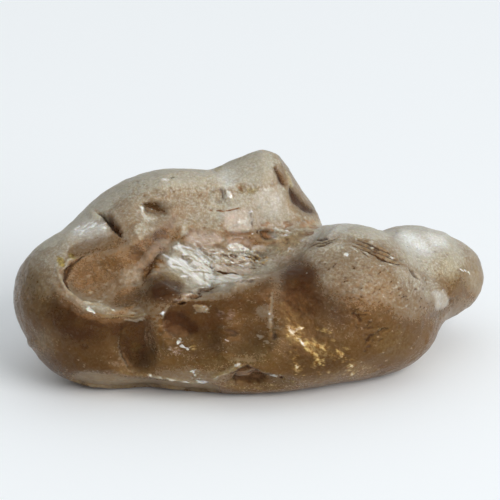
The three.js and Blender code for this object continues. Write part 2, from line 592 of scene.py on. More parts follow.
@dataclass(frozen=True)
class WornZircon:
    """Zircon, worn in a river: brown see-through crystal under a frosted, finely pitted skin.

    The frosting scatters light, making the skin rougher and less see-through. Real frosting and a painted
    sheen share one coat, laid heavier on upward faces, so that the tops look pale as if lit. Where that coat
    is thin, the brown of the crystal shows, and the clear coat darkens it further with painted shade. Fresh
    breaks are glossy and pale, and the fresh coat also paints glints and highlights. Each coat in `colours`
    runs from its darker to its lighter colour, and `dulling` says what a thick coat leaves of the
    see-through and of the roughness.
    """

    deep: str = "#6c4822"
    warm: str = "#a27a3e"
    # The frost colours, which also make the painted sheen on the tops.
    frosted: str = "#c1bdae"
    smoky: str = "#aaa390"
    # Some coats also paint light: glints and highlights in the fresh and milk coats, a glow in the gold
    # coat, shade in the clear coat, and shade in hollows in the lighter dirt colour.
    colours: dict[Coat, tuple[str, str]] = field(
        default_factory=lambda: {
            CLEAR: ("#2f180a", "#4c2b15"),
            BLUSH: ("#b89a86", "#d8c2b4"),
            OLIVE: ("#7d6a2c", "#c2ae66"),
            GOLD: ("#8a5a1c", "#f1d590"),
            MILK: ("#d4d4cc", "#eceff0"),
            STAIN: ("#74492a", "#b08560"),
            FRESH: ("#c2bcae", "#eef0ec"),
            DIRT: ("#1c110a", "#3a2415"),
        }
    )
    soft_coats: tuple[Coat, ...] = (CLEAR, BLUSH, OLIVE, GOLD, MILK)
    dulling: dict[Coat, tuple[float, float]] = field(
        default_factory=lambda: {
            DIRT: (0.1, 1.3), STAIN: (0.5, 1.0), GOLD: (0.6, 0.8), MILK: (0.4, 0.7), FRESH: (0.35, 0.45)
        }
    )
    absorbed: str = "#e3ab5c"
    glint: str = "#9c7048"
    shine: float = 0.5
    glowing: float = 0.5
    glow_mm: float = 1.0
    glow_reach: tuple[float, float, float] = (1.0, 0.6, 0.3)
    density: float = 300.0
    refraction: float = 1.87
    clear_to_frosted: tuple[float, float] = (0.6, 0.1)
    smooth_to_frosted: tuple[float, float] = (0.24, 0.4)
    fresh_gloss: float = 0.12
    patch_mm: float = 3.5
    cloud_mm: float = 0.9
    grain_mm: float = 0.12
    streak_mm: tuple[float, float] = (1.6, 0.16)
    streak_turn: tuple[float, float, float] = (0.0, 0.22, -0.68)
    scratch_mm: tuple[float, float] = (0.7, 0.06)
    scratch_turn: tuple[float, float, float] = (0.3, 0.5, 0.35)
    pit_mm: float = 0.45
    grain_depth_mm: float = 0.018
    pit_depth_mm: float = 0.018
    # Painted shade in hollows: the skin darkens towards the lighter dirt colour where it lies below its
    # surroundings.
    shade_in_hollows: float = 0.7
    shaded_depth_mm: tuple[float, float] = (0.01, 0.09)

    def lay(
        self, tree: Tree, below: Socket, coat: Coat, uneven: Socket, shade: Socket
    ) -> tuple[Socket, Socket]:
        """Lays a coat over the skin. Soft coats fade out at their edge, and the others are torn there.

        Args:
            tree: The finish's nodes.
            below: The colour under the coat.
            coat: The coat.
            uneven: Noise that breaks up the coat's edge.
            shade: Noise that runs the coat from its darker to its lighter colour.

        Returns:
            The new colour, and how much of the coat shows.
        """
        amount = add(tree, "Attribute", attribute_name=coat.value).outputs["Fac"]
        if coat in self.soft_coats:
            thickness = add(
                tree,
                "MapRange",
                {"Value": uneven, "From Min": 0.3, "From Max": 0.7, "To Min": 0.6, "To Max": 1.2},
            ).outputs["Result"]
            cover = add(
                tree, "Math", {0: thickness, 1: amount}, operation="MULTIPLY", use_clamp=True
            ).outputs[0]
        else:
            raised = add(tree, "Math", {0: uneven, 1: 0.9, 2: amount}, operation="MULTIPLY_ADD").outputs[0]
            cover = add(
                tree,
                "MapRange",
                {"Value": raised, "From Min": 0.85, "From Max": 1.3},
                interpolation_type="SMOOTHSTEP",
            ).outputs["Result"]
        dark, light = (linear(colour) for colour in self.colours[coat])
        tint = add(tree, "Mix", {0: shade, 6: dark, 7: light}, data_type="RGBA").outputs[2]
        return add(tree, "Mix", {0: cover, 6: below, 7: tint}, data_type="RGBA").outputs[2], cover

    def material(self) -> bpy.types.Material:
        """Makes the finish."""
        material = bpy.data.materials.new("river_worn_zircon")
        material.use_nodes = True
        tree = material.node_tree
        tree.nodes.clear()
        place = add(tree, "TexCoord").outputs["Object"]
        stretched, drawn_out = (
            add(
                tree,
                "Mapping",
                {"Vector": place, "Rotation": turn, "Scale": (long * MM, thin * MM, thin * MM)},
                vector_type="TEXTURE",
            ).outputs["Vector"]
            for (long, thin), turn in (
                (self.streak_mm, self.streak_turn),
                (self.scratch_mm, self.scratch_turn),
            )
        )
        patches, clouds, grain, streaks, scratches = (
            add(
                tree,
                "TexNoise",
                {"Vector": where, "Scale": scale, "Detail": detail, "Roughness": rough, "Distortion": bent},
            ).outputs["Fac"]
            for where, scale, detail, rough, bent in (
                (place, 1.0 / (self.patch_mm * MM), 2.0, 0.5, 0.0),
                (place, 1.0 / (self.cloud_mm * MM), 5.0, 0.65, 0.0),
                (place, 1.0 / (self.grain_mm * MM), 4.0, 0.75, 0.15),
                (stretched, 1.0, 3.0, 0.6, 0.0),
                (drawn_out, 1.0, 2.0, 0.6, 0.6),
            )
        )
        shade, fleck, fibre, scratch = (
            add(tree, "MapRange", {"Value": value, "From Min": low, "From Max": high}).outputs["Result"]
            for value, low, high in (
                (clouds, 0.35, 0.65), (grain, 0.44, 0.66), (streaks, 0.35, 0.68), (scratches, 0.6, 0.74)
            )
        )
        uneven = add(tree, "Mix", {0: 0.5, 2: clouds, 3: grain}, data_type="FLOAT").outputs[0]
        torn = add(tree, "Mix", {0: 0.6, 2: uneven, 3: streaks}, data_type="FLOAT").outputs[0]

        # The frosting, which also carries the painted sheen on the tops, is thicker in soft clouds, and dust
        # and fine scratches show in it as pale flecks.
        frost, clear, hollow = (
            add(tree, "Attribute", attribute_name=name).outputs["Fac"]
            for name in (FROST.value, CLEAR.value, "hollow")
        )
        cloudy = add(
            tree,
            "MapRange",
            {"Value": clouds, "From Min": 0.3, "From Max": 0.7, "To Min": 0.72, "To Max": 1.15},
        ).outputs["Result"]
        sifted = add(tree, "MapRange", {"Value": fleck, "To Min": 0.86, "To Max": 1.14}).outputs["Result"]
        misty = frost
        for share in (cloudy, sifted):
            misty = add(tree, "Math", {0: misty, 1: share}, operation="MULTIPLY").outputs[0]
        sandy = add(tree, "MapRange", {"Value": clear, "To Min": 0.18, "To Max": 0.07}).outputs["Result"]
        dusty = add(tree, "Math", {0: scratch, 1: 0.9, 2: fleck}, operation="MULTIPLY_ADD").outputs[0]
        frosting = add(
            tree, "Math", {0: dusty, 1: sandy, 2: misty}, operation="MULTIPLY_ADD", use_clamp=True
        ).outputs[0]

        # The crystal's own brown lies below, darkened by the clear coat's deep brown and painted shade, the
        # frosting and painted sheen over it, and the other coats on top, some with painted glints,
        # highlights and glow.
        brown, pale = (
            add(tree, "Mix", {0: share, 6: linear(dark), 7: linear(light)}, data_type="RGBA").outputs[2]
            for share, dark, light in ((patches, self.deep, self.warm), (fleck, self.smoky, self.frosted))
        )
        colour, _ = self.lay(tree, brown, CLEAR, clouds, shade)
        colour = add(tree, "Mix", {0: frosting, 6: colour, 7: pale}, data_type="RGBA").outputs[2]
        covers = {}
        for coat, edge, tone in (
            (BLUSH, torn, fibre), (OLIVE, uneven, fleck), (GOLD, torn, fibre), (MILK, clouds, fleck),
            (STAIN, torn, shade), (FRESH, torn, fibre),
        ):
            colour, covers[coat] = self.lay(tree, colour, coat, edge, tone)
        # Painted shade: hollows in the skin are darkened towards the lighter dirt colour.
        start, full = self.shaded_depth_mm
        sunken = add(
            tree,
            "MapRange",
            {"Value": hollow, "From Min": start, "From Max": full, "To Max": self.shade_in_hollows},
        ).outputs["Result"]
        hollow_shade_colour = linear(self.colours[DIRT][1])
        colour = add(tree, "Mix", {0: sunken, 6: colour, 7: hollow_shade_colour}, data_type="RGBA").outputs[2]
        colour, covers[DIRT] = self.lay(tree, colour, DIRT, uneven, shade)

        see_through, roughness = (
            add(tree, "MapRange", {"Value": frosting, "To Min": bare, "To Max": thick}).outputs["Result"]
            for bare, thick in (self.clear_to_frosted, self.smooth_to_frosted)
        )
        for coat, shares in self.dulling.items():
            left = [
                add(tree, "MapRange", {"Value": covers[coat], "To Min": 1.0, "To Max": share})
                for share in shares
            ]
            see_through, roughness = (
                add(
                    tree, "Math", {0: value, 1: part.outputs["Result"]}, operation="MULTIPLY", use_clamp=True
                ).outputs[0]
                for value, part in zip((see_through, roughness), left)
            )

        pits = add(tree, "TexVoronoi", {"Vector": place, "Scale": 1.0 / (self.pit_mm * MM)})
        dented = add(
            tree,
            "MapRange",
            {"Value": pits.outputs["Distance"], "From Min": 0.05, "From Max": 0.35},
            interpolation_type="SMOOTHSTEP",
        ).outputs["Result"]
        even = add(tree, "MapRange", {"Value": covers[FRESH], "To Min": 1.0, "To Max": 0.3})
        bumps = {}
        for height, depth_mm in (
            (dented, self.pit_depth_mm),
            (streaks, self.grain_depth_mm),
            (scratches, 0.5 * self.grain_depth_mm),
            (grain, self.grain_depth_mm),
        ):
            relief = {"Height": height, "Distance": depth_mm * MM, "Strength": even.outputs["Result"]}
            bumps = {"Normal": add(tree, "Bump", {**relief, **bumps}).outputs["Normal"]}
        surface = add(
            tree,
            "BsdfPrincipled",
            {
                "Base Color": colour,
                "Roughness": roughness,
                "IOR": self.refraction,
                "Specular IOR Level": self.shine,
                "Specular Tint": linear(self.glint),
                "Subsurface Weight": self.glowing,
                "Subsurface Radius": self.glow_reach,
                "Subsurface Scale": self.glow_mm * MM,
                "Transmission Weight": see_through,
                "Coat Weight": covers[FRESH],
                "Coat Roughness": self.fresh_gloss,
                **bumps,
            },
        ).outputs["BSDF"]
        inside = add(tree, "VolumeAbsorption", {"Color": linear(self.absorbed), "Density": self.density})
        add(tree, "OutputMaterial", {"Surface": surface, "Volume": inside.outputs["Volume"]})
        return material


@dataclass(frozen=True)
class StudioPaper:
    """Matt white paper under the stone, with a faint cool tint and nothing to catch the eye."""

    paper: str = "#f7f9fa"
    roughness: float = 0.9
    sheen: float = 0.1

    def material(self) -> bpy.types.Material:
        """Makes the finish."""
        material = bpy.data.materials.new("matt_studio_paper")
        material.use_nodes = True
        shader = material.node_tree.nodes["Principled BSDF"]
        shader.inputs["Base Color"].default_value = linear(self.paper)
        shader.inputs["Roughness"].default_value = self.roughness
        shader.inputs["Specular IOR Level"].default_value = self.sheen
        return material


# ---- Regions of the stone -----------------------------------------------------------------------------


def scatter(
    outline: Outline, count: int, size: float, seed: int, coats: dict[Coat, float], depth: float = 0.0,
    length: float = 0.0, angle: float = 0.0,
) -> list[Stroke]:
    """Strews small marks over a place.

    Args:
        outline: The place's outline, in mm.
        count: How many marks to try. Those outside the outline are dropped.
        size: Half width of a mark in mm. Each is 0.6 to 1.4 times as wide.
        seed: Seed of the random places.
        coats: The coats that each mark lays.
        depth: How deep each mark goes in mm.
        length: Length of each mark along its line in mm. With 0 they are round.
        angle: Direction of the lines on the drawing, in degrees.

    Returns:
        The marks.
    """
    random = np.random.default_rng(seed)
    corners = np.array(outline)
    marks = []
    whole = Area(outline, soft=HARD_EDGE)
    for _ in range(count):
        place = random.uniform(corners.min(0), corners.max(0))
        turn = math.radians(angle + random.normal(0.0, ASTRAY))
        half = np.array([math.cos(turn), math.sin(turn)]) * length * random.uniform(*HALF_LENGTHS)
        width = size * random.uniform(*WIDTHS)
        share = random.uniform(*STRENGTHS)
        if whole.weights(place[None])[0][0] < 0.5:
            continue
        bend = np.array([-half[1], half[0]]) * random.uniform(-MOST_BENT, MOST_BENT)
        line = (place - half, place + bend, place + half) if length else (place,)
        points = tuple(tuple(float(c) for c in point) for point in line)
        marks.append(Stroke(points, width, {c: a * share for c, a in coats.items()}, depth * share))
    return marks


def along(
    points: Outline, count: int, size: float, seed: int, coats: dict[Coat, float], depth: float = 0.0,
    length: float = 0.3, drift: float = 0.05,
) -> list[Stroke]:
    """Strews short uneven marks along a line.

    Args:
        points: The line, in mm.
        count: How many marks.
        size: Half width of a mark in mm. Each is 0.6 to 1.4 times as wide.
        seed: Seed of the random places.
        coats: The coats that each mark lays.
        depth: How deep each mark goes in mm.
        length: Length of a mark in mm.
        drift: How far the marks stray from the line, in mm.

    Returns:
        The marks.
    """
    random = np.random.default_rng(seed)
    line = flowing_line(points, closed=False)
    marks = []
    for _ in range(count):
        share = random.uniform(*LINE_STRENGTHS)
        half = max(int(length * share * POINTS_A_HALF), 1)
        middle = int(random.integers(0, len(line)))
        piece = line[max(middle - half, 0) : middle + half + 1 : half] + random.normal(0.0, drift, 2)
        width = size * random.uniform(*WIDTHS)
        points = tuple(map(tuple, piece.tolist()))
        marks.append(Stroke(points, width, {c: a * share for c, a in coats.items()}, depth * share))
    return marks


@dataclass(frozen=True)
class LeftEnd:
    """The rounded left end: the thumbprint with its sharp lip, the slot and the dark smooth cheek."""

    lip: float = 0.10
    bowl: float = 0.15
    slot: float = 0.5
    upper_lip: Outline = ((-9.65, -0.5), (-9.62, -1.1), (-9.4, -1.6), (-8.85, -2.25), (-8.35, -2.6),
        (-7.6, -2.72), (-6.9, -2.85))
    lower_lip: Outline = ((-8.6, -2.6), (-8, -3.1), (-7.15, -3.28), (-6.15, -3.33), (-5.1, -3.25))

    def marks(self) -> list[Mark]:
        """The marks on the front drawing."""
        return [*self.thumbprint(), *self.cheek(), *self.top()]

    def thumbprint(self) -> list[Mark]:
        """The bowl, its inner wall dark with painted shade, and its pale lip with painted glints."""
        return [
            Area(((-9.4, -0.9), (-9, -1.75), (-8.3, -2.5), (-7, -2.75), (-6.1, -2.65), (-5.2, -1.9),
                (-5, -0.9), (-5.5, -0.1), (-6.6, 0.25), (-7.9, 0.15), (-8.9, -0.2)), 0.3,
                {FROST: -0.5, CLEAR: 0.22}, self.bowl),
            Area(((-6.3, -0.95), (-5.4, -0.85), (-5.1, -1.4), (-5.8, -1.95), (-6.5, -1.6)), 0.4,
                {FROST: 0.6}),
            Area(((-6.8, -2.1), (-5.5, -1.9), (-4.9, -2.3), (-5.5, -2.9), (-6.8, -2.75)), 0.4,
                {CLEAR: 0.5, FROST: -0.7}, 0.04),
            Area(((-8.6, -1.3), (-7.4, -1.1), (-7, -1.8), (-7.9, -2.3), (-8.7, -2)), 0.4,
                {CLEAR: 0.22, FROST: -0.4}),
            # Painted shade on the inner wall, and a painted highlight in the pale stroke beside it.
            Stroke(((-8.3, -0.2), (-8.9, -0.75), (-9.2, -1.4), (-8.95, -1.95)), 0.2,
                {CLEAR: 0.9, STAIN: 0.42, FROST: -0.9}, 0.12),
            Stroke(((-9.3, -0.95), (-9.1, -0.5), (-8.55, -0.25)), 0.09, {FROST: 1.0, FRESH: 0.3}, -0.04),
            # The pale lips, with painted glints strewn along them and below.
            Stroke(self.upper_lip, 0.15, {FROST: 0.75, FRESH: 0.2}, -self.lip, spread=0.8),
            *along(self.upper_lip, 18, 0.08, 50, {FRESH: 0.45, FROST: 1.0}, -0.015, 0.3, 0.05),
            Stroke(self.lower_lip, 0.1, {FROST: 0.5, OLIVE: 0.2}, -0.6 * self.lip, spread=0.8),
            *along(self.lower_lip, 12, 0.07, 51, {FRESH: 0.35, OLIVE: 0.35, FROST: 0.8}, -0.015, 0.3, 0.03),
            Area(((-8.5, -2.6), (-7.6, -2.75), (-6.9, -2.9), (-6.7, -3.2), (-7.3, -3.25), (-8, -3.1)), 0.15,
                {FROST: 0.6}),
            *scatter(((-8.5, -2.55), (-7, -2.8), (-6.8, -3.2), (-8, -3.15)), 26, 0.08, 4,
                {FRESH: 0.75, OLIVE: 0.6}, -0.025, 0.2, -25.0),
            # A painted glint on the lip.
            Stroke(((-8.1, -2.95), (-7.75, -3.2)), 0.13, {FRESH: 1.0}, -0.03),
            Stroke(((-9.6, -0.4), (-9.35, -0.8)), 0.26, {OLIVE: 1.0}, 0.03),
            Stroke(((-9.05, -0.15), (-8.65, -0.3)), 0.17, {OLIVE: 0.9}),
            Stroke(((-9.55, -1.05),), 0.15, {FRESH: 0.45}),
            *scatter(((-8.8, -0.4), (-6, 0), (-5.4, -1.8), (-8.4, -2.2)), 34, 0.05, 5, {FROST: 0.9}, -0.01,
                0.15),
        ]

    def cheek(self) -> list[Mark]:
        """The smooth cheek below the lip, dark with deep crystal and painted shade."""
        return [
            Area(((-9.7, -2.1), (-9.2, -2.5), (-8.4, -3.2), (-7.5, -3.55), (-6.4, -3.6), (-6.5, -4.5),
                (-7.75, -4.9), (-9, -4.75), (-10, -4), (-10.3, -3)), 0.75, {CLEAR: 0.95, FROST: -0.95}),
            Area(((-9.2, -2.5), (-8, -3.2), (-6.6, -3.45), (-5.2, -3.4), (-5.2, -3.9), (-7, -4.2),
                (-9.2, -3.6)), 0.4, {CLEAR: 0.95, FROST: -0.9}),
            Area(((-11.8, -0.9), (-10.2, -1), (-9.9, -2.2), (-10.3, -3.4), (-11.8, -3.8)), 0.6,
                {FROST: -0.45, CLEAR: 0.2, OLIVE: 0.12}),
            Area(((-11, -4), (-10.1, -4.1), (-9.9, -4.8), (-10.5, -5.2)), 0.6, {FROST: 0.35, OLIVE: 0.15}),
            Area(((-9.4, -4.6), (-7.4, -4.5), (-6.6, -5), (-6.6, -6), (-9, -6.1)), 0.6, {CLEAR: 0.45}),
            Area(((-11.4, -3), (-10.2, -3), (-10, -4.4), (-11, -4.6)), 0.5, {CLEAR: 0.4, FROST: -0.4}),
            Area(((-10.6, -5), (-9, -5.4), (-8.6, -6.3), (-10, -6.2)), 0.5, {CLEAR: 0.35, FROST: -0.5}),
            Stroke(((-11.1, -4.45), (-11, -4.9)), 0.5, {}, -0.08),
            Stroke(((-9.9, -3.6),), 0.25, {DIRT: 0.45}, 0.03),
            Stroke(((-8.4, -4.8), (-8.1, -4.95)), 0.2, {STAIN: 0.4, CLEAR: 0.9}, 0.04),
            Stroke(((-10.15, -4.6), (-9.9, -4.9)), 0.2, {DIRT: 0.35}, 0.05),
            *scatter(((-11, -3.6), (-9, -4.8), (-6.6, -4.8), (-6.4, -6.4), (-10.4, -6)), 40, 0.08, 6,
                {FROST: 0.3}, -0.012, 0.15, -30.0),
        ]

    def top(self) -> list[Mark]:
        """The roll above the bowl with a painted shadow under it and painted light on top, the glossy patch
        with a painted highlight, and the slot.
        """
        crack = ((-7.65, 2), (-7.2, 1.6), (-6.7, 1.05), (-6.35, 0.6))
        return [
            # A painted shadow under the roll, and painted light along its top.
            Stroke(((-9.1, -0.2), (-8.4, 0.15), (-7.4, 0.38), (-6.2, 0.4)), 0.5, {CLEAR: 0.35, FROST: -0.6},
                0.07),
            Stroke(((-9.6, 0.1), (-8.75, 0.65), (-7.75, 0.85)), 0.5, {FROST: 0.7}, -0.08),
            # The glossy patch: a painted highlight with glints.
            Area(((-8.9, 0.75), (-8.5, 1.25), (-7.9, 1.5), (-7.15, 1.4), (-7.2, 0.95), (-7.8, 0.6),
                (-8.4, 0.5)), 0.32, {MILK: 0.55, FRESH: 0.35, FROST: 1.0}, flatten=0.5),
            *scatter(((-8.7, 0.8), (-8.1, 1.4), (-7.1, 1.4), (-7.3, 0.8)), 26, 0.07, 7, {FRESH: 0.95},
                -0.015, 0.35, 40.0),
            Stroke(crack, 0.4, {CLEAR: 0.45, FROST: -0.5}, 0.08),
            Stroke(crack, 0.14, {DIRT: 0.62, FROST: -1.0}, self.slot, Cut.FLAT),
            Stroke(((-7.8, 2.12), (-7.45, 1.9)), 0.15, {STAIN: 0.55}),
            Stroke(((-6.4, 0.65), (-6, 0.3)), 0.3, {STAIN: 0.3, CLEAR: 0.5}, 0.05),
            Area(((-6.9, 1), (-5.6, 1.3), (-5.4, 0.5), (-6.2, 0.1), (-7, 0.5)), 0.4,
                {CLEAR: 0.3, FROST: -0.4}),
            Area(((-9.2, 1.2), (-8.3, 2.3), (-7.4, 2.9), (-6.7, 2.4), (-7.2, 1.7), (-8.8, 0.9)), 0.4,
                {FROST: 1.3, FRESH: 0.2}),
            Stroke(((-8.1, 2), (-7.75, 1.7)), 0.28, {FROST: 0.9, FRESH: 0.2}, -0.06),
        ]


@dataclass(frozen=True)
class BackRidge:
    """The ridge along the back: pits with pale lips, the fold down to the trough, and the knob."""

    pit: float = 0.22
    fold: float = 0.1

    def marks(self) -> list[Mark]:
        """The marks on the front drawing."""
        return [*self.shoulder(), *self.fold_down(), *self.knob()]

    def shoulder(self) -> list[Mark]:
        """The broad shoulder, pale with painted sheen, and its pits with painted glints on their lips."""
        return [
            Stroke(((-10.9, 0.1), (-8.9, 1.7), (-7.3, 3), (-5.5, 3.75), (-3, 4), (-1.7, 3.9), (-0.9, 4.4),
                (0.2, 4.8), (1, 4.6)), 0.9, {FROST: 1.2, FRESH: 0.2}, spread=1.5, taper=8.0),
            Area(((-7.4, 2.6), (-5.6, 3.3), (-2, 3.5), (-1.2, 2.6), (-2.6, 1.6), (-4.2, 2.2), (-6, 2.2)),
                0.5, {FROST: 0.8}),
            Area(((-6.8, 2.5), (-5.6, 2.6), (-5.5, 1.2), (-6.5, 1.1)), 0.4, {FROST: -0.2}),
            # Painted light fills the hollow below the knob's left shoulder.
            Area(((-4.4, 3.2), (-3.2, 3.4), (-1.9, 3.3), (-1.7, 2.6), (-3, 2.3), (-4.3, 2.4)), 0.6,
                {FROST: 0.9}, -0.2),
            Area(((-3.6, 2.6), (-2.2, 2.6), (-1.9, 1.9), (-2.6, 1.2), (-3.4, 1.5)), 0.4, {FROST: 0.75}),
            *scatter(((-3.6, 2.6), (-2.2, 2.6), (-1.9, 1.8), (-2.7, 1.1), (-3.5, 1.4)), 40, 0.07, 8,
                {FRESH: 0.5}, -0.012, 0.4, 80.0),
            Area(((-5.6, 2.5), (-4.9, 2.5), (-4.2, 2.15), (-4.2, 1.6), (-4.9, 1.4), (-5.6, 1.7)), 0.25,
                {FROST: 0.3}, 0.14),
            Area(((-5.3, 2.42), (-4.85, 2.4), (-4.3, 2.15), (-4.2, 1.8), (-4.7, 1.8), (-5.2, 2.05)), 0.16,
                {CLEAR: 0.5, FROST: -0.5}, 0.12),
            Stroke(((-5.3, 2.4), (-4.95, 2.34), (-4.6, 2.2), (-4.25, 1.95)), 0.17, {DIRT: 0.42, FROST: -0.9},
                self.pit),
            Area(((-5.55, 2.35), (-5.3, 2.2), (-5.2, 1.85), (-4.6, 1.7), (-4.7, 1.5), (-5.25, 1.55),
                (-5.55, 1.9)), 0.12, {FRESH: 0.5, FROST: 1.0}, -0.05),
            # Painted glints on the pit's pale lip.
            Stroke(((-5.42, 2.25), (-5.35, 1.95)), 0.13, {FRESH: 0.8}, -0.03),
            Stroke(((-4.8, 2.12),), 0.08, {FRESH: 1.0}),
            Stroke(((-5.45, 1.4), (-5.5, 0.5)), 0.4, {FROST: 1.0, FRESH: 0.25}, -0.05),
            Area(((-6.9, 3.1), (-5.4, 3.9), (-3, 4.1), (-1.9, 3.6), (-3.5, 3.3), (-6, 2.8)), 0.4,
                {FROST: 0.9}),
            Area(((-4.6, 3.75), (-4.1, 3.9), (-3.6, 3.6), (-3.7, 3.3), (-4.4, 3.3)), 0.2,
                {FRESH: 0.35, FROST: 1.0}, -0.03),
            Stroke(((-3.9, 3.7), (-3.8, 3.55)), 0.16, {DIRT: 0.45, STAIN: 0.5}, 0.15),
            Stroke(((-4.45, 3.5), (-4.05, 3.45)), 0.13, {FRESH: 0.8, FROST: 1.0}, -0.03),
            *scatter(((-7, 3), (-4, 3.7), (-2, 3.6), (-2.2, 2.7), (-5, 2.5), (-6.8, 2.2)), 60, 0.07, 9,
                {CLEAR: 0.45, FROST: -0.6}, 0.02, 0.12, 30.0),
        ]

    def fold_down(self) -> list[Mark]:
        """The smooth valley from the ridge to the bowl, and the sharp fold beside it."""
        return [
            Stroke(((-6.1, -0.4), (-4.9, 0.35), (-4.2, 1)), 0.6, {FROST: -0.62, CLEAR: 0.5, BLUSH: 0.1},
                0.08),
            Stroke(((-4.9, 0.4), (-4.2, 1.05), (-3.7, 1.8)), 0.38, {FROST: -0.35, CLEAR: 0.35, BLUSH: 0.2},
                0.06),
            Stroke(((-5.75, -1.25), (-5.2, -0.55), (-4.6, 0.1), (-3.9, 0.65)), 0.45,
                {BLUSH: 0.2, FROST: 0.4}, -self.fold),
            *along(((-5.3, -0.7), (-4.6, 0.15), (-3.95, 0.65)), 16, 0.09, 52, {BLUSH: 0.6, FRESH: 0.35},
                -0.015, 0.2, 0.07),
            *along(((-5.7, -1.4), (-5.1, -0.75), (-4.5, 0), (-3.9, 0.5)), 16, 0.07, 53,
                {CLEAR: 0.6, FROST: -0.6}, 0.02, 0.25, 0.1),
            Stroke(((-5.45, -1.7), (-5.1, -1.1), (-4.6, -0.45), (-4.1, 0.15)), 0.3,
                {CLEAR: 0.35, FROST: -0.5}, 0.08),
            Stroke(((-5.3, -1.45), (-5, -1), (-4.5, -0.4), (-4.15, 0.15)), 0.11, {DIRT: 0.5, FROST: -0.9},
                0.2, Cut.VEE),
            *scatter(((-5.5, -1.6), (-4.6, -0.6), (-4, 0.3), (-3.9, 0.1), (-4.9, -1.2)), 30, 0.06, 10,
                {FRESH: 0.8}, -0.02, 0.15, 50.0),
            Area(((-3.35, 1.35), (-3, 1.3), (-3.1, 0.8), (-3.5, 0.7)), 0.14, {FROST: 1.0, FRESH: 0.35}),
            Stroke(((-2.8, 1.15), (-3.1, 0.75), (-3.45, 0.35)), 0.12, {STAIN: 0.55}, 0.06),
        ]

    def knob(self) -> list[Mark]:
        """The knob: a pit, pale broken patches with painted highlights, and two dark facets on its right
        flank.
        """
        return [
            Area(((-1.95, 3.1), (-1.5, 3.2), (-1.25, 2.9), (-1.3, 2.5), (-1.7, 2.4), (-2, 2.7)), 0.2,
                {CLEAR: 0.2}, 0.16),
            Stroke(((-1.45, 3.15), (-1.33, 2.85), (-1.42, 2.55)), 0.13, {DIRT: 0.4, CLEAR: 0.8, FROST: -0.8},
                0.1),
            Stroke(((-1.1, 2.95), (-1, 2.6)), 0.18, {FRESH: 0.9, FROST: 1.0}, -0.05),
            Stroke(((-1.25, 2.4), (-1, 2.3)), 0.07, {DIRT: 0.45}, 0.04),
            # A painted highlight on the knob's pale patch.
            Area(((-1.5, 3.85), (-0.8, 3.95), (-0.55, 3.35), (-0.75, 3), (-1.3, 3.1)), 0.35,
                {MILK: 0.35, FRESH: 0.3, FROST: 1.1}, flatten=0.4),
            Stroke(((-1.8, 3.98), (-1.4, 4.1)), 0.15, {OLIVE: 0.5}),
            Stroke(((-0.62, 3.1), (-0.25, 2.95)), 0.22, {STAIN: 0.66, OLIVE: 0.4}, 0.06),
            Stroke(((-0.2, 3), (0.2, 2.95), (0.5, 3.1)), 0.14, {OLIVE: 0.5, STAIN: 0.3}, 0.03),
            Area(((-1.2, 4.4), (0.6, 5), (1.4, 4), (0.9, 3.2), (-0.6, 3.3)), 0.5, {FROST: 1.4, FRESH: 0.35}),
            Area(((-2.2, 3), (-0.6, 3), (1.4, 3.3), (2.3, 2), (2.2, 1.2), (0.2, 1), (-2, 1.4)), 0.6,
                {FROST: 1.1, FRESH: 0.3}),
            # Painted highlights on the bright panel at the knob's right.
            Area(((0.35, 2.9), (1, 3.25), (1.55, 3), (1.55, 1.9), (1.1, 1.6), (0.6, 2.1)), 0.3,
                {MILK: 0.25, FRESH: 0.35, FROST: 1.15}, flatten=0.35),
            Area(((1, 2.9), (1.45, 2.8), (1.5, 1.9), (1.2, 1.8), (1, 2.3)), 0.3, {MILK: 0.5}),
            Stroke(((0.5, 3), (1.2, 3.2)), 0.2, {FRESH: 0.45}),
            Stroke(((1.62, 2.6), (1.7, 2.25)), 0.13, {CLEAR: 0.8}),
            Area(((1.2, 4.2), (1.5, 3.85), (1.72, 3.35), (1.45, 3.35), (1.2, 3.8)), 0.14,
                {CLEAR: 1.0, FROST: -1.0, DIRT: 0.2}, 0.1),
            Stroke(((1.75, 4.05), (1.95, 3.6), (2.1, 3.1)), 0.16, {FROST: 0.9, OLIVE: 0.3}, -0.05),
            Area(((2, 3.15), (2.45, 2.8), (2.9, 2.35), (3.25, 1.9), (2.95, 1.8), (2.35, 2.2), (2, 2.7)),
                0.16, {CLEAR: 1.0, FROST: -1.0, DIRT: 0.25}, 0.15),
            Area(((1.75, 2.6), (2.2, 2.1), (2.7, 1.7), (2.2, 1.5), (1.7, 1.9)), 0.25, {FROST: 0.8}),
            *scatter(((-2, 2.2), (0, 2.2), (1.4, 1.6), (2.6, 1.7), (1.6, 3.4), (-1.2, 3.4)), 60, 0.08, 11,
                {FRESH: 0.5}, -0.015, 0.3, 60.0),
        ]


